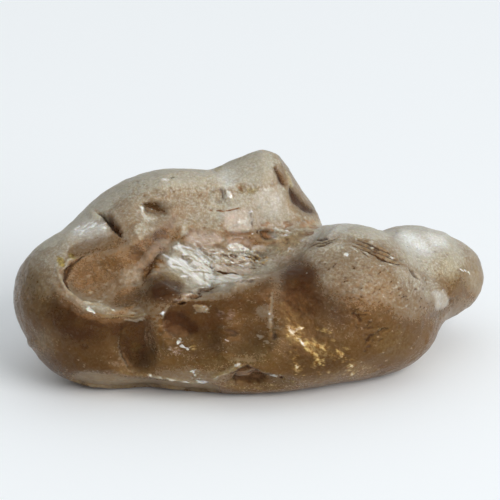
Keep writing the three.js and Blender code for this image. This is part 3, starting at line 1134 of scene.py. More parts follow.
@dataclass(frozen=True)
class Trough:
    """The broken trough between the ridges: stacked ledges and facets bright with painted reflection, pink
    and rusty in places.
    """

    ledge: float = 0.14
    cleavage: tuple[float, float, float] = (0.5, 0.75, -0.38)

    def marks(self) -> list[Mark]:
        """The marks on the front drawing."""
        return [*self.back_wall(), *self.floor(), *self.facets(), *self.front_edge()]

    def back_wall(self) -> list[Mark]:
        """The wall under the knob: a pink panel, a tan facet, and rusty cracks at its foot."""
        return [
            Area(((-1.35, 1.9), (-0.6, 2), (0.05, 1.95), (0.12, 1.1), (-0.6, 0.9), (-1.25, 1.1)), 0.2,
                {BLUSH: 0.32, MILK: 0.2, FROST: 1.2, FRESH: 0.25}, flatten=0.5),
            Stroke(((-0.65, 1.5), (-0.05, 1.3)), 0.25, {FRESH: 0.6}, -0.03),
            Stroke(((-1.2, 1.6), (-0.7, 1.7)), 0.12, {BLUSH: 0.9, FRESH: 0.3}),
            Stroke(((0.14, 1.95), (0.2, 1)), 0.5, {CLEAR: 0.2}, 0.12, Cut.STEP),
            Stroke(((0.16, 1.95), (0.2, 1)), 0.08, {CLEAR: 0.7, STAIN: 0.3}, 0.08),
            Area(((0.25, 1.9), (1, 1.6), (2.4, 1.3), (2.3, 1.05), (1.5, 1.05), (0.35, 1.05)), 0.2,
                {FROST: 0.9, BLUSH: 0.2}, layer=0.14, cleavage=(-0.15, 0.35, 0.9)),
            Stroke(((-2.1, 2.05), (-1.2, 2.02), (-0.3, 2.08)), 0.07, {STAIN: 0.85, CLEAR: 0.6}, 0.12,
                Cut.VEE),
            Stroke(((-2.1, 2), (-1.8, 1.95)), 0.2, {STAIN: 0.5}, 0.04),
            Stroke(((-1.4, 1.05), (-0.7, 0.85), (0.1, 0.85)), 0.16, {STAIN: 0.62}, 0.08),
            Stroke(((-0.9, 0.95), (-0.4, 0.9)), 0.12, {BLUSH: 0.9}),
            Stroke(((0.3, 0.9), (0.45, 0.88)), 0.1, {DIRT: 1.0}, 0.15),
            Area(((0.45, 0.95), (0.9, 0.9), (1.35, 0.65), (0.8, 0.55)), 0.1,
                {STAIN: 0.66, CLEAR: 0.9, FROST: -0.8}, 0.15),
            Stroke(((1, 1.05), (1.6, 1), (2.2, 0.88)), 0.12, {FRESH: 0.6, FROST: 1.0}, -0.06),
            Area(((0.9, 0.8), (1.6, 0.9), (1.9, 0.65), (1.3, 0.45)), 0.12, {FRESH: 0.5, FROST: 1.0}),
            Area(((1.55, 0.7), (2.2, 0.8), (2.9, 1.1), (3.35, 1.5), (3.3, 1.1), (2.5, 0.45), (1.7, 0.25)),
                0.3, {STAIN: 0.6, GOLD: 0.3, OLIVE: 0.3, FROST: 0.6}, 0.05),
            Stroke(((2.4, 1.1), (3.2, 1.45)), 0.3, {STAIN: 0.62}),
            Area(((1.2, 0.75), (2.2, 0.7), (2.6, 0.3), (1.8, -0.2), (1, 0.1)), 0.3,
                {STAIN: 0.5, OLIVE: 0.4, BLUSH: 0.3}),
            *scatter(((-1.4, 1.1), (3.2, 1.5), (2.4, 0.3), (-1, 0.3)), 44, 0.13, 12,
                {STAIN: 0.62, CLEAR: 0.3}, 0.03, 0.5, 10.0),
            *scatter(((-1.4, 1.9), (0.1, 1.9), (2.4, 1.2), (1.8, 0.6), (-1.2, 0.9)), 50, 0.05, 13,
                {FRESH: 0.8}, -0.03, 0.25, -20.0),
        ]

    def floor(self) -> list[Mark]:
        """The floor: ledges along the crystal's layers, with pink, rusty and pale places."""
        pink = ((-3.1, 0.9), (-1.8, 0.9), (-1.4, 0.5), (-2, 0.25), (-3, 0.3))
        ledges = ((-3.3, 0.3), (-1.4, 0.15), (0.7, -0.1), (0.3, -0.95), (-1.8, -0.8))
        return [
            Area(((-3.15, 0.85), (-2.5, 1), (-1.75, 0.9), (-1.35, 0.5), (-2, 0.2), (-3, 0.25)), 0.14,
                {BLUSH: 0.55, FROST: 1.0, FRESH: 0.25}, flatten=0.6, facing=(0.1, -0.45, 0.88)),
            *scatter(pink, 26, 0.08, 57, {BLUSH: 0.7, FRESH: 0.55}, -0.03, 0.35, -14.0),
            *scatter(pink, 18, 0.07, 58, {STAIN: 0.5, CLEAR: 0.5}, 0.04, 0.35, -14.0),
            Stroke(((-2.35, 1.12), (-2.2, 1.08)), 0.1, {DIRT: 0.6}, 0.08),
            Area(((-1.15, 0.7), (-0.25, 0.72), (0.1, 0.25), (-0.5, 0), (-1.1, 0.2)), 0.16,
                {STAIN: 0.3, BLUSH: 0.5}),
            Stroke(((-1.1, 0.62), (-0.6, 0.66), (-0.2, 0.55)), 0.09, {FRESH: 0.55, BLUSH: 0.6}, -0.04),
            Area(((-3.4, 0.3), (-2, 0.2), (-1, 0.1), (0.1, 0.1), (0.9, -0.1), (0.7, -0.8), (-0.25, -1.1),
                (-1.8, -0.85), (-3, -0.1)), 0.2, {FROST: 0.75}, layer=0.2, cleavage=self.cleavage),
            *[
                Stroke(line, 0.4, {STAIN: tone}, self.ledge, Cut.STEP, spread=0.35)
                for line, tone in (
                    (((-3.25, 0.35), (-2.25, 0.05), (-1.25, -0.2), (-0.35, -0.6)), 0.42),
                    (((-2.3, -0.3), (-1.4, -0.6), (-0.2, -0.9)), 0.35),
                    (((-1.4, 0.2), (-0.9, -0.05), (0.1, -0.2), (0.6, -0.5)), 0.4),
                    (((-2.9, 0.15), (-1.9, -0.2), (-1, -0.42)), 0.3),
                )
            ],
            *[
                Area(outline, 0.08, {FROST: 1.0, **coats}, depth, flatten=0.7, facing=facing)
                for outline, depth, coats, facing in (
                    (((-3.2, 0.35), (-2.4, 0.3), (-1.9, 0.05), (-2.4, -0.15), (-3, 0)), -0.05,
                     {BLUSH: 0.4, FRESH: 0.3}, (0.2, -0.5, 0.85)),
                    (((-2.2, 0.2), (-1.4, 0.15), (-1.1, -0.1), (-1.7, -0.25), (-2.3, -0.05)), 0.03,
                     {FRESH: 0.35, BLUSH: 0.2}, (0.4, -0.45, 0.8)),
                    (((-2.3, -0.3), (-1.5, -0.3), (-1, -0.55), (-1.6, -0.65), (-2.2, -0.55)), -0.04,
                     {FRESH: 0.5}, (0.35, -0.6, 0.7)),
                    (((-1.2, 0.3), (-0.75, 0.4), (-0.1, 0), (-0.6, -0.15), (-1.1, 0)), -0.08, {FRESH: 0.7},
                     (0.3, -0.55, 0.8)),
                    (((-1.3, -0.1), (-0.3, -0.1), (-0.1, -0.4), (-0.9, -0.45)), 0.0, {FRESH: 0.5},
                     (0.45, -0.5, 0.75)),
                    (((0, 0.2), (0.7, 0.3), (0.9, 0), (0.2, -0.1)), -0.05, {BLUSH: 0.3, STAIN: 0.3},
                     (0.4, -0.5, 0.75)),
                    (((-0.9, -0.5), (0, -0.45), (0.2, -0.75), (-0.6, -0.85)), 0.03,
                     {BLUSH: 0.25, FRESH: 0.3}, (0.3, -0.6, 0.7)),
                )
            ],
            *scatter(ledges, 60, 0.07, 14, {FRESH: 0.75, FROST: 1.0}, -0.045, 0.45, -16.0),
            *scatter(ledges, 50, 0.07, 15, {CLEAR: 0.8, STAIN: 0.55, FROST: -0.6}, 0.06, 0.5, -16.0),
            *scatter(((-0.4, -0.3), (0.9, -0.3), (0.8, -0.7), (-0.3, -0.7)), 26, 0.07, 16,
                {GOLD: 1.0, FRESH: 0.5}, -0.04),
            Stroke(((0.3, -0.72), (1.1, -0.5), (1.8, -0.35)), 0.2, {FROST: 1.0, FRESH: 0.4}, -0.03),
        ]

    def facets(self) -> list[Mark]:
        """The broken facets at the trough's left, pale fresh break made bright with painted reflection, and
        the black crack beside them.
        """
        whole = ((-4.2, -0.5), (-3.8, 0.25), (-2.6, 0.05), (-1.7, -0.65), (-1.7, -1.3), (-1.95, -1.75),
            (-3, -1.7))
        shards = (
            (((-3.85, 0.2), (-3.3, 0.25), (-2.6, -0.05), (-1.95, -0.6), (-2.3, -0.7), (-3.2, -0.3)), 0.75,
             0.05),
            (((-4.2, -0.45), (-3.7, -0.25), (-3, -0.6), (-2.8, -1), (-3.4, -1.1), (-4, -0.8)), 0.95, 0.0),
            (((-3.3, -0.35), (-2.6, -0.5), (-1.9, -0.75), (-1.75, -1.05), (-2.4, -1), (-3, -0.7)), 1.0, 0.1),
            (((-2.95, -1.05), (-2.2, -1), (-1.75, -1.15), (-1.95, -1.7), (-2.9, -1.65)), 0.95, -0.05),
        )
        cracks = (
            ((-3.9, -0.15), (-3.2, -0.42), (-2.6, -0.62), (-1.9, -0.8)),
            ((-3.7, -0.3), (-3.1, -0.6), (-2.7, -0.85), (-2.2, -1)),
            ((-4, -0.65), (-3.4, -0.9), (-2.95, -1.15)),
            ((-3.5, 0.15), (-2.9, -0.1), (-2.3, -0.5)),
            ((-2.9, -1.1), (-2.4, -1.12), (-1.9, -1.12)),
            ((-2.3, -1.05), (-2.35, -1.4), (-2.3, -1.65)),
            ((-2.9, -0.2), (-2.5, -0.4), (-2.1, -0.62)),
        )
        return [
            Area(((-4.3, -0.4), (-3.7, 0.35), (-2.4, 0.1), (-1.4, -0.6), (-1.2, -1.8), (-3.2, -1.95)), 0.3,
                {FROST: 1.1}),
            # Painted reflection: the facets are painted bright as if catching the light.
            Area(whole, 0.15, {FRESH: 0.42}, flatten=0.85),
            *[
                Area(outline, 0.09, {FRESH: amount, FROST: 1.4}, flatten=0.75,
                    facing=(0.2 + tilt, -0.5, 0.8 - tilt))
                for outline, amount, tilt in shards
            ],
            *[Stroke(line, 0.34, {}, 0.035, Cut.STEP) for line in cracks[:5]],
            *[
                Stroke(line, 0.07, {STAIN: 0.45, CLEAR: 0.4, FRESH: -0.7, FROST: -0.3}, 0.015, Cut.VEE)
                for line in cracks
            ],
            *scatter(whole, 22, 0.06, 17, {FRESH: -0.5, STAIN: 0.3, CLEAR: 0.35}, 0.006, 0.8, -33.0),
            *scatter(whole, 22, 0.07, 18, {FRESH: 1.1}, -0.006, 1.0, -33.0),
            Area(((-1.95, -1.2), (-0.9, -1.28), (-0.15, -1.42), (-0.9, -1.66), (-1.85, -1.75)), 0.1,
                {FRESH: 0.75, FROST: 1.3}, flatten=0.6),
            *scatter(((-1.9, -1.2), (-0.2, -1.4), (-0.6, -1.7), (-1.9, -1.75)), 12, 0.06, 54, {FRESH: 1.0},
                -0.015, 0.7, -6.0),
            *scatter(((-1.9, -1.25), (-0.2, -1.45), (-0.6, -1.7), (-1.9, -1.75)), 8, 0.06, 92,
                {STAIN: 0.5, FRESH: -0.7}, 0.02, 0.7, -6.0),
            Area(((-1.9, -0.7), (-1, -0.75), (-0.1, -1), (0, -1.2), (-0.9, -1.08), (-1.8, -0.95)), 0.1,
                {BLUSH: 0.5, FRESH: 0.3, FROST: 1.0}, flatten=0.4),
            *scatter(((-1.8, -0.65), (-0.5, -0.8), (0.1, -1.1), (-1.6, -1)), 20, 0.07, 55,
                {BLUSH: 0.5, FRESH: 0.6}, -0.03, 0.5, -12.0),
            Stroke(((-2.05, -0.68), (-1.85, -0.82), (-1.7, -0.86)), 0.1, {DIRT: 0.65}, 0.15),
            Stroke(((-1.65, -1), (-1.3, -1.12), (-0.9, -1.16), (-0.2, -1.3)), 0.09, {DIRT: 0.9, FRESH: -0.9},
                0.16, Cut.FLAT, spread=1.3),
            *along(((-1.8, -0.98), (-1.2, -1.1), (-0.3, -1.3)), 8, 0.09, 56, {STAIN: 0.6, CLEAR: 0.6}, 0.05,
                0.3, 0.08),
            Stroke(((-1.7, -1.28), (-0.9, -1.33), (-0.2, -1.43)), 0.12, {FRESH: 0.9, FROST: 1.0}, -0.05),
        ]

    def front_edge(self) -> list[Mark]:
        """The pale streaky edge between the trough and the front."""
        place = ((-3.8, -2.6), (-2.8, -2), (-0.9, -1.75), (0.4, -1.2), (0.6, -1), (0.2, -1.6), (-1.8, -2.2))
        slope = ((0.3, -0.9), (1.4, -0.1), (2.8, 0.7), (3, 0.3), (1.8, -0.6))
        return [
            Stroke(((-3.7, -2.5), (-2.8, -2.15), (-1.8, -2), (-0.9, -1.88), (-0.1, -1.55), (0.7, -1.15)),
                0.34, {FROST: 0.75}, -0.09),
            *scatter(place, 60, 0.07, 19, {FRESH: 0.7, BLUSH: 0.2}, -0.04, 0.8, 12.0),
            *scatter(place, 50, 0.07, 20, {CLEAR: 0.8, FROST: -0.6}, 0.06, 0.8, 14.0),
            Stroke(((-4.6, -1.5), (-4.1, -1.25), (-3.6, -1.35), (-3.2, -1.7)), 0.24, {OLIVE: 0.25}, -0.05),
            Stroke(((0.4, -1.15), (1.1, -0.75), (2, -0.3), (2.9, 0.1)), 0.55, {FROST: 1.0, FRESH: 0.2},
                -0.04),
            Area(((0.5, -0.6), (1.4, -0.1), (2.6, 0.6), (3.2, 1.1), (3, 0.3), (1.8, -0.5)), 0.25,
                {FROST: 0.9, BLUSH: 0.25, FRESH: 0.1}),
            *scatter(slope, 40, 0.08, 93, {STAIN: 0.6, CLEAR: 0.4}, 0.02, 0.35, 35.0),
            *scatter(slope, 30, 0.08, 94, {FRESH: 0.6}, -0.02, 0.4, 35.0),
        ]


@dataclass(frozen=True)
class FrontFace:
    """The steep front: the nose and two scoops, dark with painted shade, the upright step and the chipped
    foot.
    """

    scoop: float = 0.2
    step: float = 0.16

    def marks(self) -> list[Mark]:
        """The marks on the front drawing."""
        return [*self.nose(), *self.left_scoop(), *self.middle_scoop(), *self.upright_step(), *self.foot()]

    def nose(self) -> list[Mark]:
        """The smooth nose under the bright facets, dark with painted shade."""
        return [
            Area(((-5, -1.7), (-4.6, -1.4), (-4, -1.4), (-3.4, -1.75), (-3.45, -2.3), (-4.1, -2.5),
                (-4.75, -2.5), (-5.05, -2.15)), 0.35, {CLEAR: 1.0, FROST: -0.95}, -0.03),
            Area(((-5.1, -1.5), (-4.4, -1.15), (-3.7, -1.45), (-3.4, -2.1), (-4.2, -2.6), (-5.1, -2.5)), 0.3,
                {CLEAR: 0.7, FROST: -0.8}),
            *scatter(((-5.2, -1.6), (-3.4, -1.7), (-3.4, -2.4), (-5.2, -2.6)), 16, 0.07, 21, {FROST: 0.4},
                -0.01, 0.1),
        ]

    def left_scoop(self) -> list[Mark]:
        """The left scoop, crisp on its left, with thin ledges on top and ribs on its right."""
        return [
            # Painted shade in the scoop, over its deep brown.
            Area(((-6.15, -3.6), (-6.42, -4.2), (-6.48, -4.8), (-6.33, -5.4), (-6, -5.95), (-5.6, -6.15),
                (-5.2, -5.9), (-4.95, -5.1), (-5, -4.25), (-5.25, -3.6)), 0.4, {CLEAR: 0.85, FROST: -0.95},
                self.scoop),
            Stroke(((-5.6, -6.25), (-6, -6), (-6.35, -5.4), (-6.5, -4.8), (-6.42, -4.2), (-6.15, -3.65)),
                0.5, {CLEAR: 0.5}, 0.13, Cut.STEP, spread=0.4),
            Stroke(((-5.75, -6.2), (-6.15, -5.9), (-6.43, -5.4), (-6.57, -4.8), (-6.5, -4.2)), 0.1,
                {FROST: 0.3}, -0.03),
            Stroke(((-5.9, -5.7), (-5.3, -5.6)), 0.3, {STAIN: 0.3}),
            Stroke(((-5.75, -4.7), (-5.7, -5.1)), 0.3, {OLIVE: 0.18, DIRT: 0.25}),
            Stroke(((-6.35, -3.5), (-5.7, -3.45), (-5.1, -3.28)), 0.08, {FROST: 0.5}, -0.06),
            *along(((-6.3, -3.6), (-5.7, -3.5), (-5.1, -3.35)), 6, 0.07, 59, {FRESH: 0.55, FROST: 0.8},
                -0.02, 0.2, 0.04),
            Stroke(((-6.1, -3.6), (-5.3, -3.46)), 0.08, {DIRT: 0.4}, 0.06),
            *[
                Stroke(((x, -3.4 - 0.1 * i), (x - 0.08, -4.2), (x + 0.05, -5.0 - 0.1 * i)), 0.1,
                    {FROST: 0.22}, -0.03)
                for i, x in enumerate((-5.2, -5.02, -4.85, -4.7, -4.5))
            ],
            *[
                Stroke(((x, -3.6), (x - 0.05, -4.4), (x + 0.05, -5.2)), 0.08, {CLEAR: 0.5}, 0.03)
                for x in (-5.1, -4.93, -4.76)
            ],
            *along(((-4.95, -4.75), (-4.7, -5.25), (-4.45, -5.8)), 8, 0.06, 60, {FRESH: 0.7}, -0.015, 0.15,
                0.04),
        ]

    def middle_scoop(self) -> list[Mark]:
        """The middle scoop: deep brown and painted shade, with flecks of fresh break."""
        cream = ((-2.9, -2.8), (-2, -2.8), (-2, -3.3), (-2.8, -3.2))
        return [
            Area(((-3.95, -2.65), (-3.25, -2.55), (-1.75, -2.35), (-1.3, -3), (-1.4, -4.25), (-1.7, -5.1),
                (-2.5, -4.75), (-3.2, -4.4), (-4, -4.1), (-4.3, -3.6), (-4.2, -3.1)), 0.4,
                {CLEAR: 0.6, FROST: -0.9}, 0.12),
            Area(((-4.3, -3.1), (-3.2, -3.2), (-2.6, -3.5), (-2.5, -4.1), (-3.2, -4.3), (-4.2, -4.1)), 0.35,
                {CLEAR: 1.2, FROST: -0.8}),
            Area(((-3.3, -4.3), (-1.3, -4), (-0.8, -5.2), (-2, -5.5), (-3.4, -5)), 0.35,
                {FROST: -0.8, CLEAR: 0.1}),
            Area(((-1.7, -4.7), (-1.1, -4.6), (-0.9, -5.3), (-1.6, -5.4)), 0.3, {CLEAR: 0.3}, 0.04),
            Stroke(((-3.65, -2.7), (-3.2, -2.66)), 0.1, {DIRT: 0.9}, 0.25),
            Stroke(((-4.3, -3.85), (-4.22, -3.1), (-3.95, -2.6)), 0.5, {CLEAR: 0.4}, 0.12, Cut.STEP,
                spread=0.4),
            Stroke(((-4.4, -3.5), (-4.3, -3.05), (-4.05, -2.65)), 0.1, {FROST: 0.5}, -0.04),
            Stroke(((-4.52, -3.3), (-4.3, -3.1)), 0.13, {FRESH: 0.8}, -0.03),
            Area(((-2.95, -2.8), (-2.4, -2.7), (-1.9, -3), (-2.1, -3.35), (-2.75, -3.25)), 0.1,
                {STAIN: 0.5}),
            Area(((-2.85, -2.88), (-2.45, -2.8), (-2.05, -3), (-2.2, -3.22), (-2.7, -3.12)), 0.1,
                {BLUSH: 0.5, OLIVE: 0.6, FRESH: 0.45, FROST: 0.6}, -0.05),
            *scatter(cream, 14, 0.1, 75, {FRESH: 0.8, OLIVE: 0.6}, -0.02, 0.15, -10.0),
            *scatter(cream, 8, 0.06, 76, {STAIN: 0.7, FRESH: -0.8}, 0.03, 0.2, -60.0),
            *scatter(((-1.7, -3), (-0.8, -3), (-0.8, -3.45), (-1.7, -3.45)), 24, 0.07, 22,
                {FRESH: 0.45, BLUSH: 0.6}, -0.015),
            *along(((-3.55, -4.4), (-3.45, -4.75), (-3.1, -5.05)), 14, 0.09, 77, {FRESH: 0.95, FROST: 1.0},
                -0.02, 0.25, 0.06),
            *scatter(((-4.1, -4.75), (-3.55, -4.75), (-3.5, -5.25), (-4.05, -5.25)), 22, 0.08, 23,
                {BLUSH: 1.0, FRESH: 0.6}, -0.02, 0.12, 60.0),
            *along(((-3, -4.75), (-2.8, -5.05)), 10, 0.1, 78, {GOLD: 1.1, FRESH: 0.5}, -0.02, 0.2, 0.07),
            *scatter(((-4.2, -4.5), (-2.3, -4.6), (-2, -6), (-4, -6)), 22, 0.06, 24,
                {FRESH: 0.4, OLIVE: 0.4}, -0.015, 0.15, -50.0),
            Stroke(((-2.12, -4.3), (-1.98, -4.42)), 0.12, {FRESH: 0.45, OLIVE: 0.4}),
            *along(((-1.45, -4.8), (-1.1, -4.45)), 5, 0.08, 61, {FRESH: 0.7}, -0.015, 0.15, 0.04),
            Stroke(((-1.3, -4.02), (-0.6, -4.15)), 0.24, {CLEAR: 0.95}, 0.05),
            Stroke(((-1.2, -5.1), (-1, -5.15)), 0.08, {FRESH: 0.7}),
            Area(((-2.2, -5.4), (-0.2, -4.9), (0.9, -4.9), (0.4, -5.8), (-1.8, -6.3)), 0.5,
                {FROST: 0.15, OLIVE: 0.2}),
        ]

    def upright_step(self) -> list[Mark]:
        """The upright step right of the scoops, with pale scars on its edge."""
        return [
            # Painted shade on the steep front around the step.
            Area(((-1.6, -2.5), (-0.2, -1.9), (1.1, -1.2), (1.25, -2.4), (0.8, -3.2), (-1, -3)), 0.4,
                {CLEAR: 0.5, FROST: -0.9}),
            Area(((-4.6, -3.9), (-3.2, -4.6), (-1.6, -5), (0, -4.4), (1.2, -4.2), (1.1, -5.2), (-2, -5.6),
                (-4.4, -5)), 0.4, {CLEAR: 0.4, FROST: -0.9}),
            Area(((-1.3, -3.9), (0.4, -3.6), (1, -4.3), (0.4, -4.9), (-1.2, -4.8)), 0.35,
                {CLEAR: 0.3, FROST: -0.8}),
            Stroke(((1, -4.5), (1.05, -3.6), (1.12, -2.6), (1.2, -1.9)), 1.1, {CLEAR: 0.3}, self.step,
                Cut.STEP, spread=0.7),
            Stroke(((1.1, -2.1), (1.08, -2.9), (1, -4.2)), 0.13, {FRESH: 0.25, FROST: 0.6}, -0.05),
            *along(((1.1, -2.2), (1.08, -3), (1.02, -4)), 12, 0.08, 62, {FRESH: 0.5, FROST: 0.9}, -0.015,
                0.3, 0.03),
            Area(((0.4, -2.95), (1.05, -2.85), (1.1, -3.4), (0.5, -3.4)), 0.22, {FRESH: 0.2, FROST: 0.45}),
            Stroke(((0.98, -3), (1.02, -3.4)), 0.13, {FRESH: 0.55}),
            Stroke(((1.1, -4.15), (1.3, -4.5)), 0.17, {DIRT: 0.55, CLEAR: 1.0}, 0.14),
            *along(((0.45, -4.35), (0.8, -4.6), (1.1, -4.65)), 10, 0.09, 95, {FROST: 0.7, FRESH: 0.4}, -0.02,
                0.2, 0.06),
            *scatter(((-0.2, -4.4), (1.2, -4.4), (1.6, -5.8), (0.2, -5.7)), 20, 0.06, 26,
                {FRESH: 0.4, OLIVE: 0.3}, -0.015, 0.1, 20.0),
            *scatter(((-1, -2.2), (0.9, -1.8), (1, -3.6), (-0.6, -3.6)), 40, 0.08, 27, {FROST: 0.22}, -0.015,
                0.15, -20.0),
        ]

    def foot(self) -> list[Mark]:
        """The foot: a wavy rim bright with painted light and glints, a pale ridge, chipped layers, and
        painted light from below along the bottom.
        """
        rim = ((-5.1, -6.2), (-4.65, -6.27), (-3.95, -6.48), (-3.5, -6.62), (-2.9, -6.76), (-2.1, -6.8))
        ridge = ((-2, -6.4), (-1.5, -6.25), (-1.05, -6.05), (-0.35, -5.68))
        return [
            # Painted light from below along the bottom edge.
            Area(((-8.6, -6.2), (-5, -6.5), (-2, -6.75), (-1.8, -7.3), (-5, -7.2), (-8.4, -7.1)), 0.3,
                {FROST: 0.45, CLEAR: -0.5, GOLD: 0.15}, 0.2),
            Area(((-4.6, -6), (-1.6, -6), (-1.4, -6.7), (-4.2, -6.7)), 0.3, {FROST: 0.35, CLEAR: -0.5}),
            Area(((0, -6.3), (2.6, -6.5), (2.4, -6.95), (0, -6.95)), 0.3, {GOLD: 0.15, CLEAR: -0.6}),
            # The rim's painted light, with painted glints strewn along it.
            Stroke(rim, 0.16, {FROST: 0.7, OLIVE: 0.2}, -0.07),
            *along(rim, 30, 0.07, 63, {FRESH: 0.68, FROST: 1.0}, -0.02, 0.4, 0.04),
            # More painted light from below along the foot.
            Area(((-6.6, -6.4), (-5, -6.5), (-2, -6.95), (0.5, -7.1), (3, -6.9), (6, -6.2), (5.6, -5.6),
                (3, -6.4), (0, -6.6), (-3, -6.5), (-6.4, -6)), 0.35, {CLEAR: -0.8, GOLD: 0.22, FROST: 0.2}),
            Stroke(((-4.9, -6.4), (-3.9, -6.62), (-3.1, -6.82)), 0.14, {CLEAR: 0.8, STAIN: 0.35}, 0.06),
            # A painted highlight on the rim.
            Stroke(((-2.75, -6.65), (-2.4, -6.72), (-2.05, -6.66)), 0.13, {FRESH: 0.9}, -0.03),
            *scatter(((-3.3, -6), (-2.4, -6), (-2.5, -6.55), (-3.2, -6.5)), 26, 0.07, 28,
                {FRESH: 0.7, OLIVE: 0.4}, -0.02, 0.2, -40.0),
            Stroke(ridge, 0.2, {FROST: 0.3, OLIVE: 0.35}, -0.1),
            *along(ridge, 16, 0.07, 64, {FRESH: 0.55, OLIVE: 0.5, FROST: 0.7}, -0.02, 0.35, 0.07),
            *along(((-1.3, -6.05), (-0.35, -5.6)), 8, 0.07, 65, {FRESH: 0.9}, -0.02, 0.25, 0.03),
            Area(((-0.85, -6.25), (-0.3, -5.82), (0, -5.9), (0.7, -6.3), (0.6, -6.6), (-0.6, -6.7)), 0.1,
                {CLEAR: 1.0, STAIN: 0.58, FROST: -1.0}, 0.2),
            Stroke(((-0.3, -5.85), (-0.05, -6.05)), 0.1, {DIRT: 0.5, STAIN: 0.4}, 0.06),
            Stroke(((-0.9, -6.35), (-0.3, -6.3), (0.3, -6.1)), 0.16, {STAIN: 0.4, FROST: 0.4}, -0.04),
            Area(((0.1, -6.05), (1, -6.15), (2.3, -6.55), (1.9, -6.9), (0.2, -6.85)), 0.14, {CLEAR: 0.35},
                0.03, layer=0.18, cleavage=(0.25, -0.3, 0.9)),
            *along(((0.2, -6), (0.9, -6.15), (1.5, -6.35), (2.2, -6.6)), 16, 0.07, 29,
                {FRESH: 0.5, OLIVE: 0.4}, -0.03, 0.35, 0.07),
            Stroke(((0.2, -6.1), (0.8, -6.3), (1.3, -6.3)), 0.1, {STAIN: 0.5, CLEAR: 0.8}, 0.08),
            Stroke(((1.05, -6.31), (1.38, -6.31)), 0.08, {FRESH: 0.9}, -0.03),
            Stroke(((1.38, -6.38), (1.68, -6.52)), 0.1, {DIRT: 1.0}, 0.15),
            Stroke(((1.6, -6.55), (2.3, -6.72)), 0.08, {OLIVE: 0.6, FRESH: 0.3}, -0.03),
            Stroke(((-1, -6.75), (0.2, -6.85), (1.2, -6.95)), 0.12, {STAIN: 0.4, CLEAR: 0.6}, 0.03),
        ]


